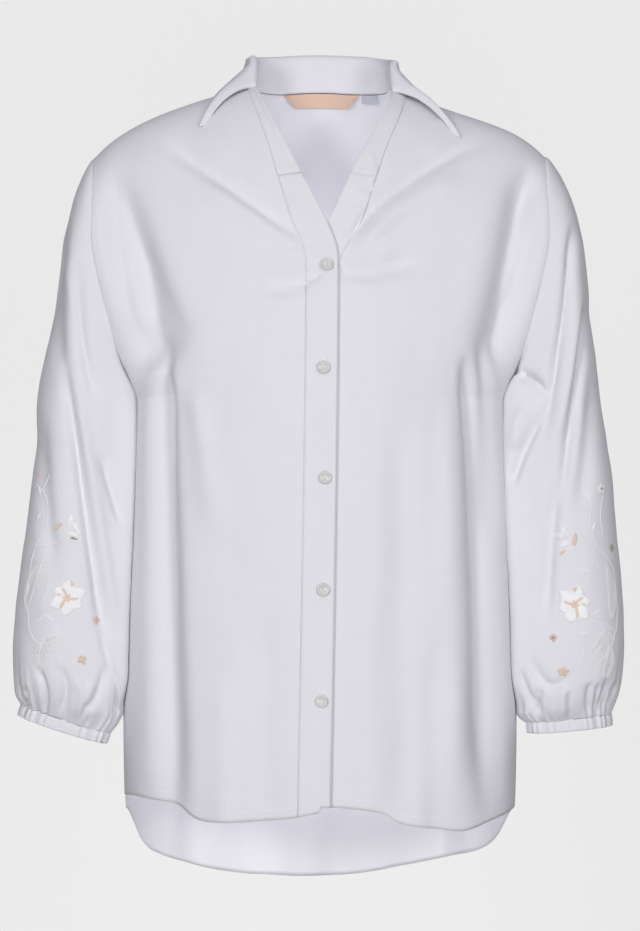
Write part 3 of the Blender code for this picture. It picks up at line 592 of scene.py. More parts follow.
def sleeve_place(side, x, z):
    """Along and turn of the place on a sleeve's front that shows at this x and z."""
    turns = np.radians(spread(-40, 200, 241))
    along, turn = np.meshgrid(spread(0, 1, 161), turns, indexing="ij")
    if side not in sleeve_place.grids:
        sleeve_place.grids[side] = plain_sleeve(side, along, turn)
    grid = sleeve_place.grids[side]
    seen = (np.degrees(turn) > -2) & (np.degrees(turn) < 184)
    gap = np.hypot(grid[..., 0] - x, grid[..., 2] - z) + np.where(seen, 0, 1)
    k = np.unravel_index(np.argmin(gap), gap.shape)
    return float(along[k]), float(turn[k])


sleeve_place.grids = {}


def puckers(turn, fineness):
    """Depth of the gathers round a wrist, deepest at both ends of the casing."""
    ends_on = 0.40 + 0.60 * np.cos(turn) ** 2
    wide = 0.55 * np.cos(GATHERS * turn + 0.5 * np.sin(2 * turn)) + 0.35 * np.cos(19 * turn + 0.7)
    fine = 0.45 * np.cos(31 * turn + 1.0) + 0.35 * np.cos(47 * turn + 0.4)
    return GATHER_DEPTH * ends_on * (wide + fine * fineness)


def sleeve_height(side, along, turn, plain):
    """Height of a sleeve's creases, of its gathers and of its gentle waves."""
    x, z = plain[..., 0], plain[..., 2]
    height = waver(x * 1.3 + side * 0.4, z)
    in_front = ease((np.sin(turn) + 0.15) / 0.3)
    for x0, z0, x1, z1, x2, z2, width, depth in SLEEVE_CREASES[side][1:]:
        share, aside = nearest_on_line(bent_line(x0, z0, x1, z1, x2, z2), x, z)
        fade = ease(share / 0.3) * ease((1 - share) / 0.25)
        height += in_front * depth * SLEEVE_CREASE_GAIN * fade * np.exp(-(aside / width) ** 2)
    degrees = np.degrees(turn) % 360
    for along0, turn0, along1, turn1, width, depth in HIDDEN_SLEEVE_CREASES[1:]:
        q = (along - along0) / (along1 - along0)
        swing = turn0 + (turn1 - turn0) * q + 6 * np.sin(4 * q + turn0)
        fade = ease(q / 0.3) * ease((1.3 - q) / 0.3)
        height += depth * fade * np.exp(-((degrees - swing) / width) ** 2)
    slip = turn + 0.10 * np.sin(3 * turn) * (1 - along) / 0.15
    gather = ease((along - 0.80) / 0.19)
    return height * ease(along / 0.05) - gather ** 1.4 * puckers(slip, gather)


def sleeve_point(side, along, turn, out=0.0):
    """Points of a creased sleeve, moved out along its normal."""
    along, turn = both(along, turn)
    plain = plain_sleeve(side, along, turn)
    near = np.clip(along, 0.004, 0.996)
    down = plain_sleeve(side, near + 0.004, turn) - plain_sleeve(side, near - 0.004, turn)
    around = plain_sleeve(side, along, turn + 0.01) - plain_sleeve(side, along, turn - 0.01)
    normal = normalized(np.cross(around, down))
    point = plain + normal * (sleeve_height(side, along, turn, plain) + out)[..., None]
    point[..., 0] *= side
    return point


def wrist_ring(side, drop, swell, turn, smooth=False):
    """Ring of the casing, drop below its top edge, with the ripple of the elastic."""
    ends = CUFF[side]
    middle_y = (ends["front"] + ends["back"]) / 2
    outer = np.array([ends["outer"][0], middle_y, ends["outer"][1]])
    inner = np.array([ends["inner"][0], middle_y, ends["inner"][1]])
    down = normalized(np.cross(inner - outer, np.array([0.0, 1.0, 0.0])))
    down = down * (1 if down[2] < 0 else -1)
    half = (ends["back"] - ends["front"]) / 2 + swell
    wider = np.stack([np.broadcast_to(swell, turn.shape), 0 * turn, 0 * turn], -1)
    outer, inner = outer + wider, inner - wider
    point = ring(outer, inner, half, turn) + down * np.asarray(drop)[..., None]
    ripple = puckers(turn, 1.0) * (1 - 0.25 * np.asarray(drop) / CUFF_HEIGHT)
    ripple = ripple * (0.0 if smooth else 1.0)
    tilt = np.stack([np.cos(turn), -np.sin(turn), np.zeros(turn.shape)], -1)
    point = point - tilt * ripple[..., None]
    point[..., 0] *= side
    return point


def cuff_point(side, drop, turn, out=0.0):
    """Points of the casing: drop runs from its top edge to its lower one."""
    share = np.clip(np.asarray(drop) / CUFF_HEIGHT, 0, 1)
    swell = 0.0002 + 0.0009 * np.sin(np.pi * share) ** 0.7 + 0.0004 * ease((share - 0.75) / 0.25)
    return wrist_ring(side, drop, swell + out, turn)


def collar_line(side, station):
    """The collar's line at one station: neck seam, fold and falling edge."""
    seam = neck_edge(side, station) + np.array([0, 0, 0.0008])
    away = normalized(np.array([seam[0], seam[1] - 0.005, 0.0]))
    fold = seam + away * float(read(COLLAR, "lean", station))
    fold[2] += float(read(COLLAR, "stand", station))
    turn = float(read(COLLAR, "edge_turn", station))
    face = BACK if turn >= 0 else FRONT
    edge_x = np.array(float(read(COLLAR, "edge_x_" + SIDE_NAME[side], station)))
    reach = side * abs(float(reach_of(face, abs(turn), edge_x)))
    edge = body(face, abs(turn), reach, float(read(COLLAR, "lift", station)))
    roll, up = 0.0022, np.array([0, 0, 1.0])
    bulge = COLLAR_BULGE + COLLAR_FRONT_BULGE * float(ease((station - 0.8) / 0.2))
    shoulder = (fold + edge) / 2 + (away + up * 0.9) * bulge
    line = [seam, (seam * 2 + fold) / 3 - away * 0.0008, (seam + fold * 2) / 3 - away * 0.0010,
            fold - away * roll * 0.6, fold + up * roll * 0.7 - away * roll * 0.2,
            fold + up * roll + away * roll * 0.5, fold + up * roll * 0.8 + away * roll * 1.3]
    start = fold + away * roll * 2.0 + up * roll * 0.4
    for share in spread(0, 1, 11):
        first = start + (shoulder - start) * share
        line.append(first + (shoulder + (edge - shoulder) * share - first) * share)
    return np.array(line)


def run_lengths(steps):
    """Length so far at each point, from the steps between them."""
    return np.concatenate([[0], np.cumsum(steps)])


def smooth_rows(points, count):
    """Points of a grid resampled evenly along its first direction on a smooth curve."""
    keys = run_lengths(np.linalg.norm(np.diff(points, axis=0), axis=-1).mean(1) + 1e-9)
    at = spread(0, keys[-1], count)
    k = np.clip(np.searchsorted(keys, at) - 1, 0, len(keys) - 2)
    slopes = np.gradient(points, keys, axis=0)
    step = (keys[k + 1] - keys[k])[:, None, None]
    q = ((at - keys[k])[:, None, None]) / step
    return curve(points[k], points[k + 1], slopes[k], slopes[k + 1], step, q)


def add_mesh(name, points, faces, material, uvs=None):
    """Object from points and faces, with cloth lengths as its UVs where they are given."""
    mesh = bpy.data.meshes.new(name)
    mesh.from_pydata([tuple(p) for p in points], [], [tuple(f) for f in faces])
    if uvs is not None:
        layer = mesh.uv_layers.new(name="cloth")
        layer.data.foreach_set("uv", uvs.astype(np.float32).ravel())
    mesh.materials.append(material)
    mesh.validate()
    mesh.shade_smooth()
    obj = bpy.data.objects.new(name, mesh)
    bpy.context.scene.collection.objects.link(obj)
    return obj


def grid_faces(rows, columns, closed=False):
    """Faces of a grid of points, and the grid places of their corners."""
    columns_used = np.arange(columns if closed else columns - 1)
    row, column = (part.ravel()
                   for part in np.meshgrid(np.arange(rows - 1), columns_used, indexing="ij"))
    turns = ((0, 0), (0, 1), (1, 1), (1, 0))
    corners = np.stack([np.stack([row + down, column + on], -1) for down, on in turns], 1)
    return corners[..., 0] * columns + corners[..., 1] % columns, corners


def add_cloth(name, grid, material, closed=False, wall=CLOTH, flip=False):
    """Shell of cloth from a grid of points, its UVs in metres along the cloth."""
    rows, columns = grid.shape[:2]
    faces, corners = grid_faces(rows, columns, closed)
    wrapped = np.concatenate([grid, grid[:, :1]], 1) if closed else grid
    u = run_lengths(np.linalg.norm(np.diff(wrapped, axis=1), axis=-1).mean(0))
    v = run_lengths(np.linalg.norm(np.diff(grid, axis=0), axis=-1).mean(1))
    uvs = np.stack([u[corners[..., 1]], v[corners[..., 0]]], -1)
    if flip:
        faces, uvs = faces[:, ::-1], uvs[:, ::-1]
    obj = add_mesh(name, grid.reshape(-1, 3), faces, material, uvs)
    solid = obj.modifiers.new("wall", "SOLIDIFY")
    solid.thickness = wall
    solid.offset = 0.0
    return obj


def node(tree, kind, **inputs):
    """New shader node with inputs set or linked, by their name or as _0, _1 by their place."""
    made = tree.nodes.new(kind)
    for name, value in inputs.items():
        socket = made.inputs[int(name[1:]) if name[0] == "_" else name.replace("_", " ")]
        if isinstance(value, bpy.types.NodeSocket):
            tree.links.new(value, socket)
        else:
            socket.default_value = value
    return made


def math_node(tree, operation, first, second=0.0):
    """Result of one operation on two values."""
    made = node(tree, "ShaderNodeMath", _0=first, _1=second)
    made.operation = operation
    return made.outputs[0]


def noise(tree, place, scale, detail):
    return node(tree, "ShaderNodeTexNoise", Vector=place, Scale=scale, Detail=detail)


def colour_ramp(tree, value, first, last):
    """Colours that follow a value, from the place and colour of two stops."""
    ramp = node(tree, "ShaderNodeValToRGB", Fac=value)
    for element, (place, colour) in zip(ramp.color_ramp.elements, (first, last)):
        element.position, element.color = place, (*colour, 1)
    return ramp.outputs["Color"]


def relief(tree, shader, strength, distance, height):
    """Fine relief of the surface."""
    bump = node(tree, "ShaderNodeBump", Strength=strength, Distance=distance, Height=height)
    tree.links.new(bump.outputs["Normal"], shader.inputs["Normal"])


def new_material(name, roughness, sheen=0.0):
    """Material, its node tree and its shader."""
    material = bpy.data.materials.new(name)
    material.use_nodes = True
    shader = material.node_tree.nodes["Principled BSDF"]
    shader.inputs["Roughness"].default_value = roughness
    shader.inputs["Sheen Weight"].default_value = sheen
    return material, material.node_tree, shader


def woven_material(name, low, high, threads=2600, bump=0.25, roughness=0.85, sheen=0.05):
    """Plain weave by the cloth's own lengths: over-and-under threads, slubs and a soft mottle."""
    material, tree, shader = new_material(name, roughness, sheen)
    shader.inputs["Sheen Roughness"].default_value = 0.5
    shader.inputs["Specular IOR Level"].default_value = 0.15
    uv = node(tree, "ShaderNodeUVMap")
    uv.uv_map = "cloth"
    lengths = node(tree, "ShaderNodeSeparateXYZ", Vector=uv.outputs["UV"])
    turns = [math_node(tree, "MULTIPLY", lengths.outputs[k], threads * math.pi) for k in (0, 1)]
    warp, weft = (math_node(tree, "SINE", turn) for turn in turns)
    over = math_node(tree, "MULTIPLY", warp, weft)
    streaks = []
    for scale in ((900, 14, 1), (14, 900, 1)):
        place = node(tree, "ShaderNodeMapping", Vector=uv.outputs["UV"], Scale=scale)
        streaks.append(noise(tree, place.outputs["Vector"], 1.0, 3.0).outputs["Fac"])
    slubs = math_node(tree, "ADD", *streaks)
    mottle = noise(tree, uv.outputs["UV"], 9.0, 4.0)
    tone = math_node(tree, "ADD", math_node(tree, "MULTIPLY", slubs, 0.35),
                     math_node(tree, "MULTIPLY", mottle.outputs["Fac"], 0.30))
    tone = math_node(tree, "ADD", tone, math_node(tree, "MULTIPLY", over, 0.10))
    tree.links.new(colour_ramp(tree, tone, (0.25, low), (0.75, high)), shader.inputs["Base Color"])
    height = math_node(tree, "ADD", over, math_node(tree, "MULTIPLY", slubs, 0.8))
    relief(tree, shader, bump, 0.0002, height)
    return material


def thread_material(name, low, high):
    """Twisted embroidery thread: a fine grain and a little change of tone."""
    material, tree, shader = new_material(name, 0.38, 0.3)
    place = node(tree, "ShaderNodeTexCoord").outputs["Object"]
    grain, mottle = noise(tree, place, 1500.0, 2.0), noise(tree, place, 160.0, 2.0)
    tone = math_node(tree, "ADD", math_node(tree, "MULTIPLY", grain.outputs["Fac"], 0.5),
                     math_node(tree, "MULTIPLY", mottle.outputs["Fac"], 0.5))
    tree.links.new(colour_ramp(tree, tone, (0.30, low), (0.70, high)), shader.inputs["Base Color"])
    relief(tree, shader, 0.4, 0.0001, grain.outputs["Fac"])
    return material


def button_material():
    """Pearly plastic: cloudy bands under a smooth polish."""
    material, tree, shader = new_material("pearl", 0.22)
    shader.inputs["Coat Weight"].default_value = 0.5
    shader.inputs["Coat Roughness"].default_value = 0.12
    cloud = noise(tree, node(tree, "ShaderNodeTexCoord").outputs["Object"], 240.0, 3.0)
    cloud.inputs["Distortion"].default_value = 1.6
    cloud = cloud.outputs["Fac"]
    tint = colour_ramp(tree, cloud, (0.3, (0.60, 0.60, 0.585)), (0.7, (0.70, 0.695, 0.675)))
    tree.links.new(tint, shader.inputs["Base Color"])
    polish = colour_ramp(tree, cloud, (0.2, (0.18, 0.18, 0.18)), (0.8, (0.34, 0.34, 0.34)))
    tree.links.new(polish, shader.inputs["Roughness"])
    return material


def dress(piece, slot, *nodes):
    """The piece moves with the blouse and stands for some nodes; the slot is not used."""
    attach(piece, "root")
    if nodes:
        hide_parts(*nodes)
    return piece


def cloth_piece(name, grid, cloth, **shell):
    """Shell of cloth that stands for the node of the same name."""
    return dress(add_cloth(name + "_cloth", grid, cloth, **shell), "cloth", name)


def body_rows(count_upper, count_lower):
    """Row values of a panel, above and below the underarm."""
    return np.concatenate([spread(0, 1, count_upper), spread(1, 2, count_lower + 1)[1:]])


def front_columns(count):
    """Across values of a front: a few over its band, more over its panel."""
    return np.concatenate([spread(0, 1, 9), spread(1, 2, count + 1)[1:]])


def add_fronts(cloth):
    """The two fronts with the placket and facing laid along each edge."""
    rows, made = body_rows(64, 100), {}
    for side in (RIGHT, LEFT):
        name, turned_over = SIDE_NAME[side], side == RIGHT
        grid = front_point(side, rows[:, None], front_columns(74)[None, :])
        made["front_" + name] = cloth_piece("front_" + name, grid, cloth, flip=turned_over)
        split = row_at(side, BAND_SPLIT_Z)
        lap = split + BAND_JOIN
        for part, first, last, count in (("facing", 0.03, lap, 44), ("placket", split, 2.0, 170)):
            v, across = both(spread(first, last, count)[:, None], spread(0, 1, 15)[None, :])
            folded = EDGE_FOLD * np.exp(-(across / 0.10) ** 2)
            lapped = 0.0
            if part == "facing":
                lapped = FACING_STEP[side] * ease((v - split + 0.03) / 0.03)
            if side == RIGHT and part == "facing":
                rolled = ease((v - 0.05) / 0.08) * (1 - 0.6 * ease((v - lap + 0.08) / 0.08))
                folded += NECKLINE_ROLL * (1 - ease((across - 0.34) / 0.10)) * rolled
            turned_in = (BAND_OUT - EDGE_FOLD) * ease((across - 0.75) / 0.25)
            grid = front_point(side, v, across, BAND_OUT + folded - turned_in + lapped)
            band = part + "_" + name
            made[band] = cloth_piece(band, grid, cloth, flip=turned_over)
    return made


def add_back(cloth):
    """The plain back, its columns closer together towards the sides."""
    widest = float(read(ARMHOLE, "half_width", 0.0))
    neck = NECK_HALF_WIDTH / widest
    inner = math.asin(neck * math.sin(FAN))
    shares = spread(0, 1, 62)[1:]
    outside = np.sin(inner + (FAN - inner) * shares) / math.sin(FAN)
    half = np.concatenate([spread(0, neck, 30), outside])
    reach = np.concatenate([-half[:0:-1], half])[None, :]
    rows = body_rows(64, 104)[:, None]
    top = back_neck_turn(reach * widest)
    v = np.where(rows < 1, top + (1 - top) * rows, rows)
    return cloth_piece("back", body(BACK, v, reach), cloth)


def add_sleeve(side, cloth):
    """A sleeve from its armhole to inside the casing."""
    turn = spread(0, 2 * math.pi, 193)[:-1][None, :]
    along = np.concatenate([spread(0, 0.86, 110), spread(0.86, 1, 34)[1:]])[:, None]
    grid = sleeve_point(side, along, np.broadcast_to(turn, (len(along), turn.shape[1])))
    wrist = wrist_ring(side, np.full(turn.shape, 0.0005), 0.0008, turn)
    last = grid[-1:] * 0.55 + wrist * 0.45
    grid = np.concatenate([grid, last, wrist])
    return cloth_piece("sleeve_" + SIDE_NAME[side], grid, cloth, closed=True, flip=side == LEFT)


def add_cuff(side, cloth):
    """The elastic casing at the end of a sleeve."""
    turn = spread(0, 2 * math.pi, 289)[:-1][None, :]
    drop, turn = both(spread(0.0, CUFF_HEIGHT, 10)[:, None], turn)
    grid = cuff_point(side, drop, turn, CUFF_TOP_OUT)
    return cloth_piece("cuff_" + SIDE_NAME[side], grid, cloth, closed=True, flip=side == LEFT)


def collar_grid():
    """Points of the collar from its right front end round the neck to its left one."""
    stations = np.concatenate([spread(1, 0, 60), spread(0, 1, 60)[1:]])
    sides = [RIGHT] * 60 + [LEFT] * 59
    lines = np.stack([collar_line(side, float(s)) for side, s in zip(sides, stations)], 1)
    lines = smooth_rows(lines, 46)
    first, last = rolled_under(lines[:, 0]), rolled_under(lines[:, -1])
    return np.concatenate([first[:, ::-1], lines, last], 1)


def rolled_under(line):
    """Front edge of the collar, turned back beneath it towards the neck seam."""
    inward = line[0] - line
    reach = np.linalg.norm(inward, axis=-1, keepdims=True)
    inward = normalized(inward + 1e-9) * np.minimum(reach * 0.98, COLLAR_TURN_UNDER)
    shares = np.array([0.06, 0.2, 0.4, 0.65, 1.0])[None, :, None]
    down = np.array([0.0, 0.0, -1.0]) * np.sin(np.pi * np.minimum(shares * 1.2, 1.0)) * 0.0016
    soft = np.minimum(reach / 0.004, 1.0)[:, None]
    return line[:, None] + inward[:, None] * shares + down * soft


def add_label(name, middle_x, half_top, half_low, drop, material):
    """Ribbon label caught in the neck seam, hanging on the inside of the back."""
    share, across = np.meshgrid(spread(0, 1, 12), spread(-1, 1, 25), indexing="ij")
    x = middle_x + (half_top + (half_low - half_top) * share) * across
    v = back_neck_turn(x)
    top = body(BACK, v, reach_of(BACK, v, x))
    inward = normalized(np.stack([-top[..., 0], -top[..., 1], np.zeros(x.shape)], -1)) * LABEL_GAP
    fall = 0.0002 + drop * share
    wave = 0.0003 * np.sin(across * 4 + 1) * share
    grid = top + inward + np.stack([np.zeros(x.shape), LABEL_SLOPE * fall + wave, -fall], -1)
    return dress(add_cloth(name + "_ribbon", grid, material, wall=RIBBON), name, name)


def button_mesh(name, material):
    """Four-hole button: a dished face, a rounded rim and four sunk holes."""
    r, steps = BUTTON_RADIUS, 48
    holes = [(HOLE_PLACE * r * sx, HOLE_PLACE * r * sy) for sx in (-1, 1) for sy in (-1, 1)]
    face = [(share, BUTTON_FACE) for share in (0.06, 0.12, 0.18, 0.24, 0.29, 0.34, 0.40, 0.48)]
    points = [(0, 0, BUTTON_FACE)]
    rings = face + list(BUTTON_RIM)
    for share, height in rings:
        for k in range(steps):
            angle = 2 * math.pi * k / steps
            x, y = share * r * math.cos(angle), share * r * math.sin(angle)
            near = min(math.hypot(x - hx, y - hy) for hx, hy in holes)
            sunk = max(0.0, 1 - near / (HOLE_RADIUS * r)) if share < 0.5 else 0.0
            points.append((x, y, height - HOLE_DEPTH * min(1.0, sunk * 2.2)))
    faces = [(0, 1 + k, 1 + (k + 1) % steps) for k in range(steps)]
    for level in range(len(rings) - 1):
        for k in range(steps):
            a, b = 1 + level * steps + k, 1 + level * steps + (k + 1) % steps
            faces.append((a, a + steps, b + steps, b))
    return add_mesh(name, points, faces, material)


def placket_seat(z, place, out):
    """Points on the outside of the right placket at some heights, and the way out from them."""
    v = row_at(RIGHT, z)
    middle = front_point(RIGHT, v, place, out)
    down = front_point(RIGHT, v + 0.01, place, out) - front_point(RIGHT, v - 0.01, place, out)
    across = front_point(RIGHT, v, place - 0.1, out) - front_point(RIGHT, v, place + 0.1, out)
    normal = normalized(np.cross(down, across))
    return middle, normal * np.where(normal[..., 1:2] > 0, -1, 1)


class Threads:
    """Short raised threads of one colour, gathered into one mesh."""

    def __init__(self):
        self.points, self.faces, self.waiting = [], [], []

    def lay(self, patch, flat, out, width):
        """Thread drawn flat on a sleeve's patch, laid on the cloth when the piece is made."""
        along, turn = patch.spots(np.asarray(flat, float))
        self.waiting.append((patch.side, along, turn, np.broadcast_to(out, along.shape), width))

    def settle(self):
        """Lay all the waiting threads on their sleeve."""
        if not self.waiting:
            return
        side = self.waiting[0][0]
        columns = zip(*(thread[1:4] for thread in self.waiting))
        along, turn, out = (np.concatenate(column) for column in columns)
        low, normals = line_on(lambda out: sleeve_point(side, along, turn, out), 0.0)
        points = low + normals * (CLOTH / 2 + out)[:, None]
        start = 0
        for thread in self.waiting:
            end = start + len(thread[1])
            self.run(points[start:end], normals[start:end], thread[4])
            start = end
        self.waiting = []

    def run(self, path, normals, width):
        """Roof-shaped thread along a path, narrow at both ends."""
        path, normals = np.asarray(path, float), np.asarray(normals, float)
        way = normalized(np.gradient(path, axis=0))
        side = normalized(np.cross(way, normals)) * width / 2
        taper = np.full(len(path), 1.0)
        taper[0] = taper[-1] = 0.35
        side, rise = side * taper[:, None], normals * (width * 0.6 * taper)[:, None]
        base = len(self.points)
        for spot, aside, up in zip(path, side, rise):
            self.points += [spot - aside, spot - aside * 0.5 + up * 0.8,
                            spot + aside * 0.5 + up * 0.8, spot + aside]
        for k in range(len(path) - 1):
            for j in range(3):
                a = base + k * 4 + j
                self.faces.append((a, a + 4, a + 5, a + 1))

    def make(self, name, material, slot):
        """The piece of all the threads, if there are any."""
        self.settle()
        if not self.points:
            return None
        return dress(add_mesh(name, self.points, self.faces, material), slot)


def along_line(at, lengths, values):
    """Values at some lengths along a line of points."""
    return np.stack([np.interp(at, lengths, column) for column in values.T], -1)


def sew(threads, points, normals, stitch=0.0026, gap=0.0007, width=0.00042):
    """Straight machine stitches along a line of points."""
    lengths = run_lengths(np.linalg.norm(np.diff(points, axis=0), axis=1))
    start = 0.0
    while start + stitch < lengths[-1]:
        at = np.array([start, start + stitch / 2, start + stitch])
        path, up = along_line(at, lengths, points), along_line(at, lengths, normals)
        threads.run(path, normalized(up), width)
        start += stitch + gap


def line_on(place, out=STITCH_OUT):
    """Points and normals of a line on a surface, from its places at two heights."""
    low, high = place(out), place(out + 0.001)
    return low, normalized(high - low)


def add_sewing(thread):
    """Machine stitching of hems, plackets, armholes, collar and casings."""
    threads = Threads()
    edge, hem = spread(0.035, 1.995, 300), front_columns(150)
    turn, reach = spread(0, 2 * math.pi, 260), spread(-0.995, 0.995, 320)
    for side in (RIGHT, LEFT):
        for across in (0.06, 0.94):
            sew(threads, *line_on(lambda out: front_point(side, edge, across, BAND_OUT + out)))
        sew(threads, *line_on(lambda out: front_point(side, 1.976, hem, out)))
        sew(threads, *line_on(lambda out: sleeve_point(side, 0.012, turn, out)))
        for drop in (0.0012, CUFF_HEIGHT - 0.0010):
            level = np.full(turn.shape, drop)
            sew(threads, *line_on(lambda out: cuff_point(side, level, turn, EDGE_FOLD + out)),
                stitch=0.0020)
    sew(threads, *line_on(lambda out: body(BACK, 1.979, reach, out)))
    grid = collar_grid()
    across, down = np.gradient(grid, axis=1), np.gradient(grid, axis=0)
    normals = normalized(np.cross(across, down))
    for line in ((-4, slice(None)), (slice(16, None), 3), (slice(16, None), -4)):
        up = normals[line] * np.sign(normals[line][:, 2:3] + 1e-9)
        sew(threads, grid[line] + up * STITCH_LIFT, up, stitch=0.0022)
    threads.make("machine_stitching", thread, "thread")


def add_buttons(pearl, thread):
    """Buttons with their thread crosses, and the worked buttonholes under them."""
    sewn = Threads()
    for number, (z, place) in enumerate(BUTTONS[1:], 1):
        normal = placket_seat(z, place, BAND_OUT + STITCH_LIFT)[1]
        low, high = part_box("button_%d" % number)
        seat = np.array((low + high) / 2) - normal * BUTTON_SINK
        button = button_mesh("button_%d_pearl" % number, pearl)
        button.location = seat
        button.rotation_mode = "QUATERNION"
        turned = Vector(normal).to_track_quat("Z", "Y")
        button.rotation_quaternion = turned
        dress(button, "button", "button_%d" % number)
        across = np.array(turned @ Vector((1, 0, 0)))
        up = np.array(turned @ Vector((0, 1, 0)))
        hole = HOLE_PLACE * BUTTON_RADIUS
        q = spread(-1, 1, 7)[:, None]
        arch = normal * (BUTTON_FACE + 0.0005 * np.sqrt(np.maximum(0, 1 - q ** 2)))
        for side in (-1, 1):
            for shift in (-0.00018, 0.00018):
                path = seat + across * (side * hole + shift) + up * hole * q * 1.05 + arch
                sewn.run(path, np.repeat(normal[None], 7, 0), 0.0004)
        q = spread(0.15, 1, 4)[:, None]
        middles, ways = placket_seat(z + spread(-0.0085, 0.0085, 46), place, BAND_OUT + 0.0005)
        for middle, way in zip(middles, ways):
            for side in (-1, 1):
                path = middle + across * side * 0.0010 * q + way * 0.0002 * np.sin(np.pi * q)
                sewn.run(path, np.repeat(way[None], 4, 0), 0.00042)
    sewn.make("button_thread", thread, "thread")


# Embroidery of each sleeve, x measured outwards and seen straight on. Sizes in metres, tilt in
# degrees from upright, clockwise as seen from the front with x to the wearer's outside
FLOWERS = {
    RIGHT: (
        ("x", "z", "radius", "petals", "thread", "heart", "tilt"),
        (0.2345, -0.4755, 0.0165, 6, "white", "peach", 10),
        (0.2075, -0.4960, 0.0042, 4, "pink", "pink", 0),
        (0.2205, -0.5320, 0.0046, 4, "peach", "peach", 35),
    ),
    LEFT: (
        ("x", "z", "radius", "petals", "thread", "heart", "tilt"),
        (0.2365, -0.4815, 0.0165, 6, "white", "peach", 30),
        (0.2620, -0.3750, 0.0052, 5, "white", "olive", 12),
        (0.2725, -0.4300, 0.0040, 4, "olive", "olive", 20),
        (0.2165, -0.5115, 0.0040, 4, "pink", "olive", 0),
        (0.2262, -0.5440, 0.0050, 5, "peach", "pink", 15),
    ),
}
LEAVES = {
    RIGHT: (
        ("x", "z", "length", "width", "tilt", "thread"),
        (0.2437, -0.4080, 0.0130, 0.0045, -38, "peach"),
        (0.2285, -0.4205, 0.0075, 0.0024, -82, "olive"),
        (0.2660, -0.3630, 0.0080, 0.0030, 4, "pink"),
        (0.2725, -0.4250, 0.0070, 0.0028, -10, "pink"),
        (0.2520, -0.4930, 0.0090, 0.0020, 62, "white"),
        (0.2430, -0.5010, 0.0085, 0.0020, 8, "white"),
        (0.2280, -0.5060, 0.0100, 0.0018, 78, "white"),
        (0.2640, -0.3760, 0.0080, 0.0026, 35, "white"),
        (0.2620, -0.3980, 0.0075, 0.0026, 150, "white"),
    ),
    LEFT: (
        ("x", "z", "length", "width", "tilt", "thread"),
        (0.2365, -0.4195, 0.0135, 0.0048, 28, "peach"),
        (0.2255, -0.4330, 0.0065, 0.0028, 70, "peach"),
        (0.2495, -0.3810, 0.0080, 0.0024, -25, "white"),
        (0.2545, -0.4080, 0.0085, 0.0026, 40, "white"),
        (0.2475, -0.4500, 0.0085, 0.0022, -60, "white"),
        (0.2560, -0.4880, 0.0100, 0.0020, 75, "white"),
        (0.2800, -0.5540, 0.0080, 0.0030, 5, "peach"),
        (0.2440, -0.5090, 0.0090, 0.0020, -70, "white"),
    ),
}
FEATHERS = {
    RIGHT: (
        ("x", "z", "length", "width", "tilt"),
        (0.2680, -0.4640, 0.0480, 0.0130, -8),
        (0.2545, -0.5230, 0.0330, 0.0150, -28),
    ),
    LEFT: (
        ("x", "z", "length", "width", "tilt"),
        (0.2710, -0.4720, 0.0480, 0.0130, 8),
        (0.2680, -0.5360, 0.0320, 0.0120, 14),
        (0.2590, -0.5170, 0.0240, 0.0100, 38),
    ),
}
HATCHES = {
    RIGHT: (
        ("x", "z", "length", "width", "tilt"),
        (0.2320, -0.4040, 0.0130, 0.0060, 20),
        (0.2250, -0.4095, 0.0135, 0.0060, 58),
        (0.2300, -0.4150, 0.0110, 0.0050, 96),
    ),
    LEFT: (
        ("x", "z", "length", "width", "tilt"),
        (0.2280, -0.4140, 0.0130, 0.0060, -22),
        (0.2215, -0.4180, 0.0130, 0.0060, -56),
        (0.2270, -0.4250, 0.0105, 0.0050, -92),
    ),
}
STEMS = {
    RIGHT: (
        ((0.2545, -0.3620), (0.2595, -0.3720), (0.2585, -0.3830)),
        ((0.2650, -0.3680), (0.2570, -0.3830), (0.2560, -0.4060), (0.2650, -0.4280)),
        ((0.2650, -0.4280), (0.2700, -0.4500), (0.2720, -0.4800), (0.2710, -0.5060)),
        ((0.2650, -0.4280), (0.2560, -0.4260), (0.2450, -0.4230)),
        ((0.2720, -0.5060), (0.2620, -0.5180), (0.2500, -0.5160), (0.2420, -0.5330)),
        ((0.2680, -0.4990), (0.2620, -0.4960), (0.2560, -0.4900)),
        ((0.2550, -0.4380), (0.2530, -0.4580), (0.2590, -0.4830)),
    ),
    LEFT: (
        ((0.2470, -0.3720), (0.2515, -0.3850), (0.2500, -0.4050), (0.2570, -0.4270)),
        ((0.2570, -0.4270), (0.2660, -0.4360), (0.2740, -0.4490)),
        ((0.2620, -0.3800), (0.2600, -0.3980), (0.2625, -0.4150)),
        ((0.2740, -0.4490), (0.2770, -0.4800), (0.2750, -0.5060)),
        ((0.2750, -0.5060), (0.2640, -0.5010), (0.2520, -0.4960)),
        ((0.2450, -0.5060), (0.2460, -0.5200), (0.2440, -0.5330)),
        ((0.2740, -0.5060), (0.2700, -0.5230), (0.2590, -0.5380)),
    ),
}
KNOTS = {
    RIGHT: (
        ("x", "z", "wide", "high", "count"),
        (0.2640, -0.5350, 0.0200, 0.0170, 34),
        (0.2590, -0.4540, 0.0030, 0.0300, 10),
    ),
    LEFT: (
        ("x", "z", "wide", "high", "count"),
        (0.2680, -0.5130, 0.0130, 0.0090, 20),
        (0.2440, -0.5240, 0.0030, 0.0190, 9),
        (0.2570, -0.4390, 0.0020, 0.0180, 8),
    ),
}

THREAD_SLOTS = {
    "white": "thread", "peach": "thread_peach", "olive": "thread_olive", "pink": "thread_peach"
}
THREAD_WIDTH = 0.00058
THREAD_PITCH = 0.00042
SATIN_CROWN = 0.00100


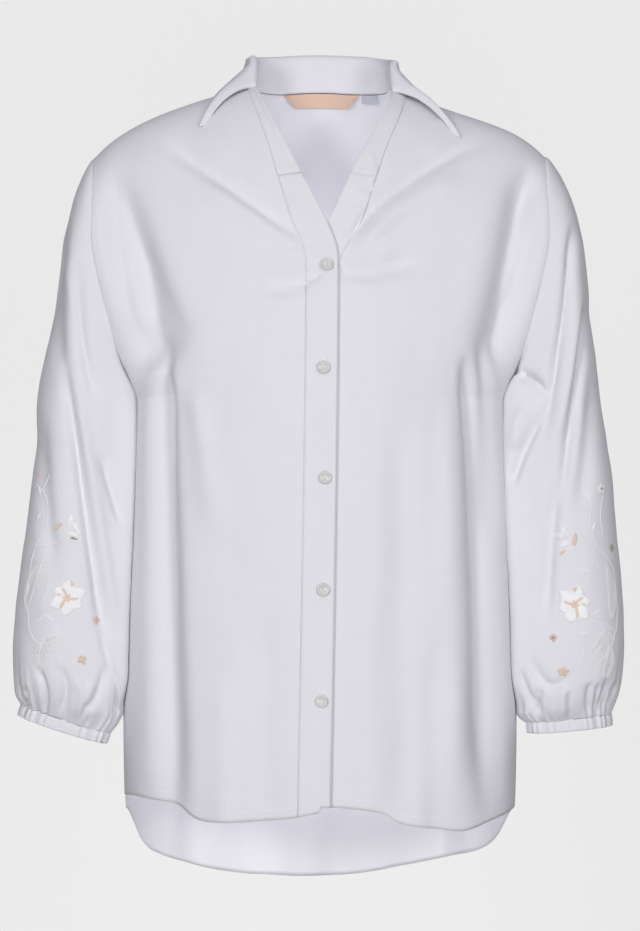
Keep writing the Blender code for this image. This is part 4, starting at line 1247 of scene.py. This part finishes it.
class SleevePatch:
    """Flat drawing space on a sleeve: metres outwards and up from a place, laid on the cloth."""

    def __init__(self, side, x, z):
        self.side = side
        self.along, self.turn = sleeve_place(side, x, z)
        step = 0.01
        here = plain_sleeve(side, self.along, self.turn)
        down = plain_sleeve(side, self.along + step, self.turn) - here
        around = plain_sleeve(side, self.along, self.turn + step) - here
        self.per_along, self.per_turn = np.linalg.norm(down) / step, np.linalg.norm(around) / step
        self.skew = float(np.dot(down, around) / (step * step) / max(self.per_turn, 1e-6))

    def spots(self, flat):
        """Along and turn of flat points."""
        along = np.clip(self.along - flat[:, 1] / self.per_along, 0.01, 0.995)
        moved = (along - self.along) * self.skew
        return along, self.turn - (flat[:, 0] + moved) / self.per_turn


def turned(flat, degrees):
    """Flat points turned clockwise, as seen with x to the outside."""
    cos, sin = math.cos(math.radians(degrees)), math.sin(math.radians(degrees))
    x, y = flat[:, 0], flat[:, 1]
    return np.stack([x * cos + y * sin, y * cos - x * sin], -1)


def spoke(reach, degrees):
    """Flat point at this distance from the middle of a flower."""
    return turned(np.array([[0, reach]]), degrees)[0]


def leaf_half(share):
    """Half width of a leaf along its length, from its stem to its tip."""
    return np.sin(np.pi * share ** 0.8) ** 0.75


def satin_leaf(threads, patch, centre, length, width, tilt, slant=0.35):
    """Leaf or petal filled with close satin stitches that arch over its middle."""
    count = max(6, int(length / THREAD_PITCH))
    q = spread(-1, 1, 5)
    for k in range(count):
        share = (k + 0.5) / count
        half = width / 2 * float(leaf_half(share))
        if half < 0.0002:
            continue
        flat = np.stack([q * half, (share - 0.5) * length + q * half * slant], -1)
        flat = turned(flat, tilt) + centre
        crown = SATIN_CROWN * min(1.0, half / 0.0015) * (1 - q ** 2)
        threads.lay(patch, flat, crown, THREAD_WIDTH)


def hatched_petal(threads, patch, centre, length, width, tilt):
    """Open petal: an outline of back stitches and a few long threads along it."""
    share = spread(0, 1, 17)
    for edge in (-1, 1):
        flat = np.stack([edge * width / 2 * leaf_half(share), (share - 0.5) * length], -1)
        stitched_line(threads, patch, turned(flat, tilt) + centre, 0.0016, 0.00080)
    for lane in spread(-0.62, 0.62, 5):
        reach = 0.5 - 0.16 * abs(lane)
        q = spread(-1, 1, 6)
        flat = np.stack([lane * width / 2 * leaf_half(q * reach + 0.5), q * reach * length], -1)
        threads.lay(patch, turned(flat, tilt) + centre, 0.0005 * (1 - q ** 2), 0.00085)


def stitched_line(threads, patch, flat, stitch, width):
    """Back stitches along a flat line."""
    lengths = run_lengths(np.linalg.norm(np.diff(flat, axis=0), axis=1))
    count = max(1, int(round(lengths[-1] / stitch)))
    arch = 0.0004 * np.sin(np.pi * spread(0.1, 0.9, 4))
    for k in range(count):
        at = (k + spread(-0.06, 1.06, 4)) / count * lengths[-1]
        threads.lay(patch, along_line(at, lengths, flat), arch, width)


def feather(threads, patch, centre, length, width, tilt):
    """Feather leaf: a stitched vein with pairs of slanting stitches along both sides."""
    bow = spread(0, 1, 25)
    aside = 0.10 * length * np.sin(np.pi * bow) - 0.05 * length
    vein = np.stack([aside, (bow - 0.5) * length], -1)
    stitched_line(threads, patch, turned(vein, tilt) + centre, 0.0020, 0.00100)
    for edge in (-1, 1):
        rim = vein + np.stack([edge * width / 2 * leaf_half(bow), 0.06 * length * bow], -1)
        stitched_line(threads, patch, turned(rim, tilt) + centre, 0.0021, 0.00095)
    count = int(length / 0.0019)
    q = spread(0.08, 1, 5)
    for k in range(1, count):
        root = along_line(k / count, bow, vein)
        half = width / 2 * float(leaf_half(k / count))
        for edge in (-1, 1):
            flat = root + np.stack([edge * half * q, half * 0.9 * q ** 1.3], -1)
            threads.lay(patch, turned(flat, tilt) + centre, 0.0010 * np.sin(np.pi * q), 0.00100)


def knot(threads, patch, centre, radius):
    """French knot: a small coil of thread."""
    turn = spread(0, 4 * math.pi, 15)
    reach = radius * (0.75 - 0.45 * turn / turn[-1])
    flat = np.stack([np.cos(turn) * reach, np.sin(turn) * reach], -1) + centre
    threads.lay(patch, flat, 0.0001 + 0.0007 * turn / turn[-1], 0.00070)


def add_embroidery(side, materials):
    """All stitched flowers, leaves, stems and knots of one sleeve, one piece for each thread."""
    colours = {name: Threads() for name in THREAD_SLOTS}
    origin = np.zeros(2)
    for x, z, radius, petals, thread, heart, tilt in FLOWERS[side][1:]:
        patch = SleevePatch(side, x, z)
        for k in range(petals):
            angle = tilt + 360 * k / petals
            uneven = 1 + 0.10 * math.sin(2.3 * k + radius * 900)
            centre = spoke(radius * 0.60 * uneven, angle)
            long = radius * 0.86 * uneven
            satin_leaf(colours[thread], patch, centre, long, radius * 0.92, angle, 0.15)
        for k in range(3):
            angle = tilt + 25 + 120 * k
            centre = spoke(radius * 0.30, angle)
            satin_leaf(colours[heart], patch, centre, radius * 0.72, radius * 0.60, angle + 20, 0.3)
        if radius > 0.01:
            for k in range(7):
                knot(colours["white"], patch, spoke(radius * 0.16, 51 * k + tilt), 0.0006)
            for reach, turn, long in ((0.52, 150, 0.55), (0.86, -8, 0.40), (0.45, 70, 0.50)):
                angle = tilt + turn
                centre, long = spoke(radius * reach, angle), radius * long
                satin_leaf(colours["peach"], patch, centre, long, radius * 0.34, angle + 25, 0.3)
    for x, z, length, width, tilt, thread in LEAVES[side][1:]:
        satin_leaf(colours[thread], SleevePatch(side, x, z), origin, length, width, tilt)
    for table, stitched in ((FEATHERS, feather), (HATCHES, hatched_petal)):
        for x, z, length, width, tilt in table[side][1:]:
            stitched(colours["white"], SleevePatch(side, x, z), origin, length, width, tilt)
    for stem in STEMS[side]:
        places = np.array([sleeve_place(side, x, z) for x, z in stem])
        patch = SleevePatch(side, *stem[len(stem) // 2])
        moved = (places[:, 0] - patch.along) * patch.skew
        flat = np.stack([(patch.turn - places[:, 1]) * patch.per_turn - moved,
                         (patch.along - places[:, 0]) * patch.per_along], -1)
        q = spread(0, len(stem) - 1, 40)
        slopes = np.gradient(flat, axis=0)
        k = np.clip(q.astype(int), 0, len(stem) - 2)
        line = curve(flat[k], flat[k + 1], slopes[k], slopes[k + 1], 1, (q - k)[:, None])
        stitched_line(colours["white"], patch, line, 0.0022, 0.00120)
    for x, z, wide, high, count in KNOTS[side][1:]:
        patch = SleevePatch(side, x, z)
        for k in range(count):
            u, v = (k * 0.618034) % 1 - 0.5, (k + 0.5) / count - 0.5
            if wide > 0.005:
                u *= math.sqrt(max(0.0, 1 - (2 * v) ** 2))
            knot(colours["white"], patch, np.array([u * wide, v * high]), 0.00075)
    for name, threads in colours.items():
        piece = "embroidery_%s_%s" % (SIDE_NAME[side], name)
        threads.make(piece, materials[name], THREAD_SLOTS[name])


# Studio: the paper glows near the blouse, and dark flags left and right of it shade its sides
PAPER_GLOW = 0.59
PAPER_MIDDLE = (0.0, 2.0, -0.35)
PAPER_WIDE, FLOOR_Z, ROLL_START, ROLL_RADIUS = 6.0, -1.25, 1.2, 0.8
FLAG_OPEN, FLAG_SHADE = 1.25, 1.20


def one_sided(tree, shader):
    """The paper is clear from behind, so the blouse's back can be looked at."""
    side = node(tree, "ShaderNodeNewGeometry")
    clear = node(tree, "ShaderNodeBsdfTransparent")
    both = node(tree, "ShaderNodeMixShader")
    output = next(n for n in tree.nodes if n.type == "OUTPUT_MATERIAL")
    tree.links.new(side.outputs["Backfacing"], both.inputs[0])
    tree.links.new(shader.outputs[0], both.inputs[1])
    tree.links.new(clear.outputs[0], both.inputs[2])
    tree.links.new(both.outputs[0], output.inputs["Surface"])


def add_stage():
    """Plain pale floor that curves up into a backdrop behind the blouse."""
    profile = [(-PAPER_WIDE, FLOOR_Z), (ROLL_START, FLOOR_Z)]
    for angle in np.radians(np.arange(10, 91, 10)):
        profile.append((ROLL_START + ROLL_RADIUS * math.sin(angle),
                        FLOOR_Z + ROLL_RADIUS - ROLL_RADIUS * math.cos(angle)))
    profile.append((ROLL_START + ROLL_RADIUS, 4.0))
    points = [(x, y, z) for y, z in profile for x in (-PAPER_WIDE, PAPER_WIDE)]
    faces = [(2 * k, 2 * k + 1, 2 * k + 3, 2 * k + 2) for k in range(len(profile) - 1)]
    material, tree, shader = new_material("studio_paper", 0.9)
    place = node(tree, "ShaderNodeTexCoord").outputs["Object"]
    grain = noise(tree, place, 3.0, 2.0).outputs["Fac"]
    tint = colour_ramp(tree, grain, (0.3, (0.400, 0.400, 0.395)), (0.7, (0.404, 0.404, 0.399)))
    tree.links.new(tint, shader.inputs["Base Color"])
    gap = node(tree, "ShaderNodeVectorMath", _0=place, _1=PAPER_MIDDLE)
    gap.operation = "DISTANCE"
    near = math_node(tree, "MULTIPLY", gap.outputs["Value"], 0.5)
    glow = colour_ramp(tree, near, (0.50, (PAPER_GLOW,) * 3), (0.85, (0.0, 0.0, 0.0)))
    shader.inputs["Emission Color"].default_value = (1.0, 1.0, 0.995, 1)
    tree.links.new(glow, shader.inputs["Emission Strength"])
    one_sided(tree, shader)
    add_mesh("studio_floor", points, faces, material)


def add_light(name, place, aim, size, energy, colour=(1.0, 0.99, 0.98)):
    """Soft round lamp that points at a place."""
    data = bpy.data.lights.new(name, "AREA")
    data.shape, data.size, data.energy, data.color = "DISK", size, energy, colour
    light = bpy.data.objects.new(name, data)
    bpy.context.scene.collection.objects.link(light)
    light.location = place
    light.rotation_euler = (Vector(aim) - Vector(place)).to_track_quat("-Z", "Y").to_euler()
    return light


# Camera: level, in front of the middle of the blouse, with the photo's height of view
CAMERA_DISTANCE = 3.0
CAMERA_HEIGHT = -0.352
VIEW_HEIGHT = 931 * 0.00095
SENSOR = 36.0


def add_camera():
    scene = bpy.context.scene
    data = bpy.data.cameras.new("camera")
    data.sensor_fit, data.sensor_height, data.sensor_width = "VERTICAL", SENSOR, SENSOR
    data.lens = SENSOR * CAMERA_DISTANCE / VIEW_HEIGHT
    camera = bpy.data.objects.new("camera", data)
    camera.location = (0, -CAMERA_DISTANCE, CAMERA_HEIGHT)
    camera.rotation_euler = (math.pi / 2, 0, 0)
    scene.collection.objects.link(camera)
    scene.camera = camera
    scene.view_settings.view_transform = "Standard"


def add_lights():
    """Soft light all round, less of it from both sides, three lamps and one in the hollow."""
    world = bpy.data.worlds.new("studio")
    world.use_nodes = True
    tree = world.node_tree
    sky = tree.nodes["Background"]
    place = node(tree, "ShaderNodeTexCoord").outputs["Generated"]
    heading = node(tree, "ShaderNodeSeparateXYZ", Vector=place)
    rise = math_node(tree, "MULTIPLY", math_node(tree, "ADD", heading.outputs[2], 1.0), 0.5)
    shades = colour_ramp(tree, rise, (0.0, (0.44, 0.44, 0.47)), (0.5, (0.40, 0.40, 0.435)))
    tree.links.new(shades, sky.inputs["Color"])
    sideways = math_node(tree, "MULTIPLY", heading.outputs[0], heading.outputs[0])
    shaded = math_node(tree, "MULTIPLY", sideways, FLAG_SHADE)
    tree.links.new(math_node(tree, "SUBTRACT", FLAG_OPEN, shaded), sky.inputs["Strength"])
    bpy.context.scene.world = world
    middle = (0, 0, -0.35)
    add_light("key", (-1.25, -2.8, 0.10), middle, 0.7, 27)
    add_light("fill", (1.35, -2.8, -0.10), middle, 0.8, 23)
    add_light("front", (0.0, -3.4, -0.7), middle, 0.7, 12)
    inside, back = (0, -0.045, -0.40), (0, 1.0, -0.40)
    through = add_light("through_cloth", inside, back, 0.22, 0.62, (0.97, 0.97, 1.0))
    through.data.shape, through.data.size_y = "RECTANGLE", 0.54
    through.visible_camera = False


def build():
    """All pieces, then the studio."""
    cloth = woven_material("white_weave", (0.765, 0.76, 0.80), (0.815, 0.81, 0.85))
    satin = {"threads": 5200, "bump": 0.3, "roughness": 0.5, "sheen": 0.3}
    peach = woven_material("peach_ribbon", (0.68, 0.47, 0.36), (0.78, 0.57, 0.45), **satin)
    grey = woven_material("grey_ribbon", (0.50, 0.51, 0.58), (0.60, 0.61, 0.67), **satin)
    thread = thread_material("white_thread", (0.86, 0.86, 0.885), (0.95, 0.95, 0.955))
    threads = {
        "white": thread,
        "peach": thread_material("peach_thread", (0.74, 0.57, 0.46), (0.84, 0.69, 0.59)),
        "olive": thread_material("olive_thread", (0.36, 0.32, 0.20), (0.52, 0.47, 0.34)),
        "pink": thread_material("pink_thread", (0.70, 0.48, 0.43), (0.84, 0.64, 0.58)),
    }
    pieces = add_fronts(cloth)
    pieces["back"] = add_back(cloth)
    for side in (RIGHT, LEFT):
        pieces["sleeve_" + SIDE_NAME[side]] = add_sleeve(side, cloth)
        pieces["cuff_" + SIDE_NAME[side]] = add_cuff(side, cloth)
        add_embroidery(side, threads)
    pieces["collar"] = cloth_piece("collar", collar_grid(), cloth, wall=COLLAR_CLOTH)
    add_label("neck_label", *NECK_LABEL, peach)
    add_label("size_label", *SIZE_LABEL, grey)
    add_sewing(thread)
    add_buttons(button_material(), thread)
    add_stage()
    add_camera()
    add_lights()


build()
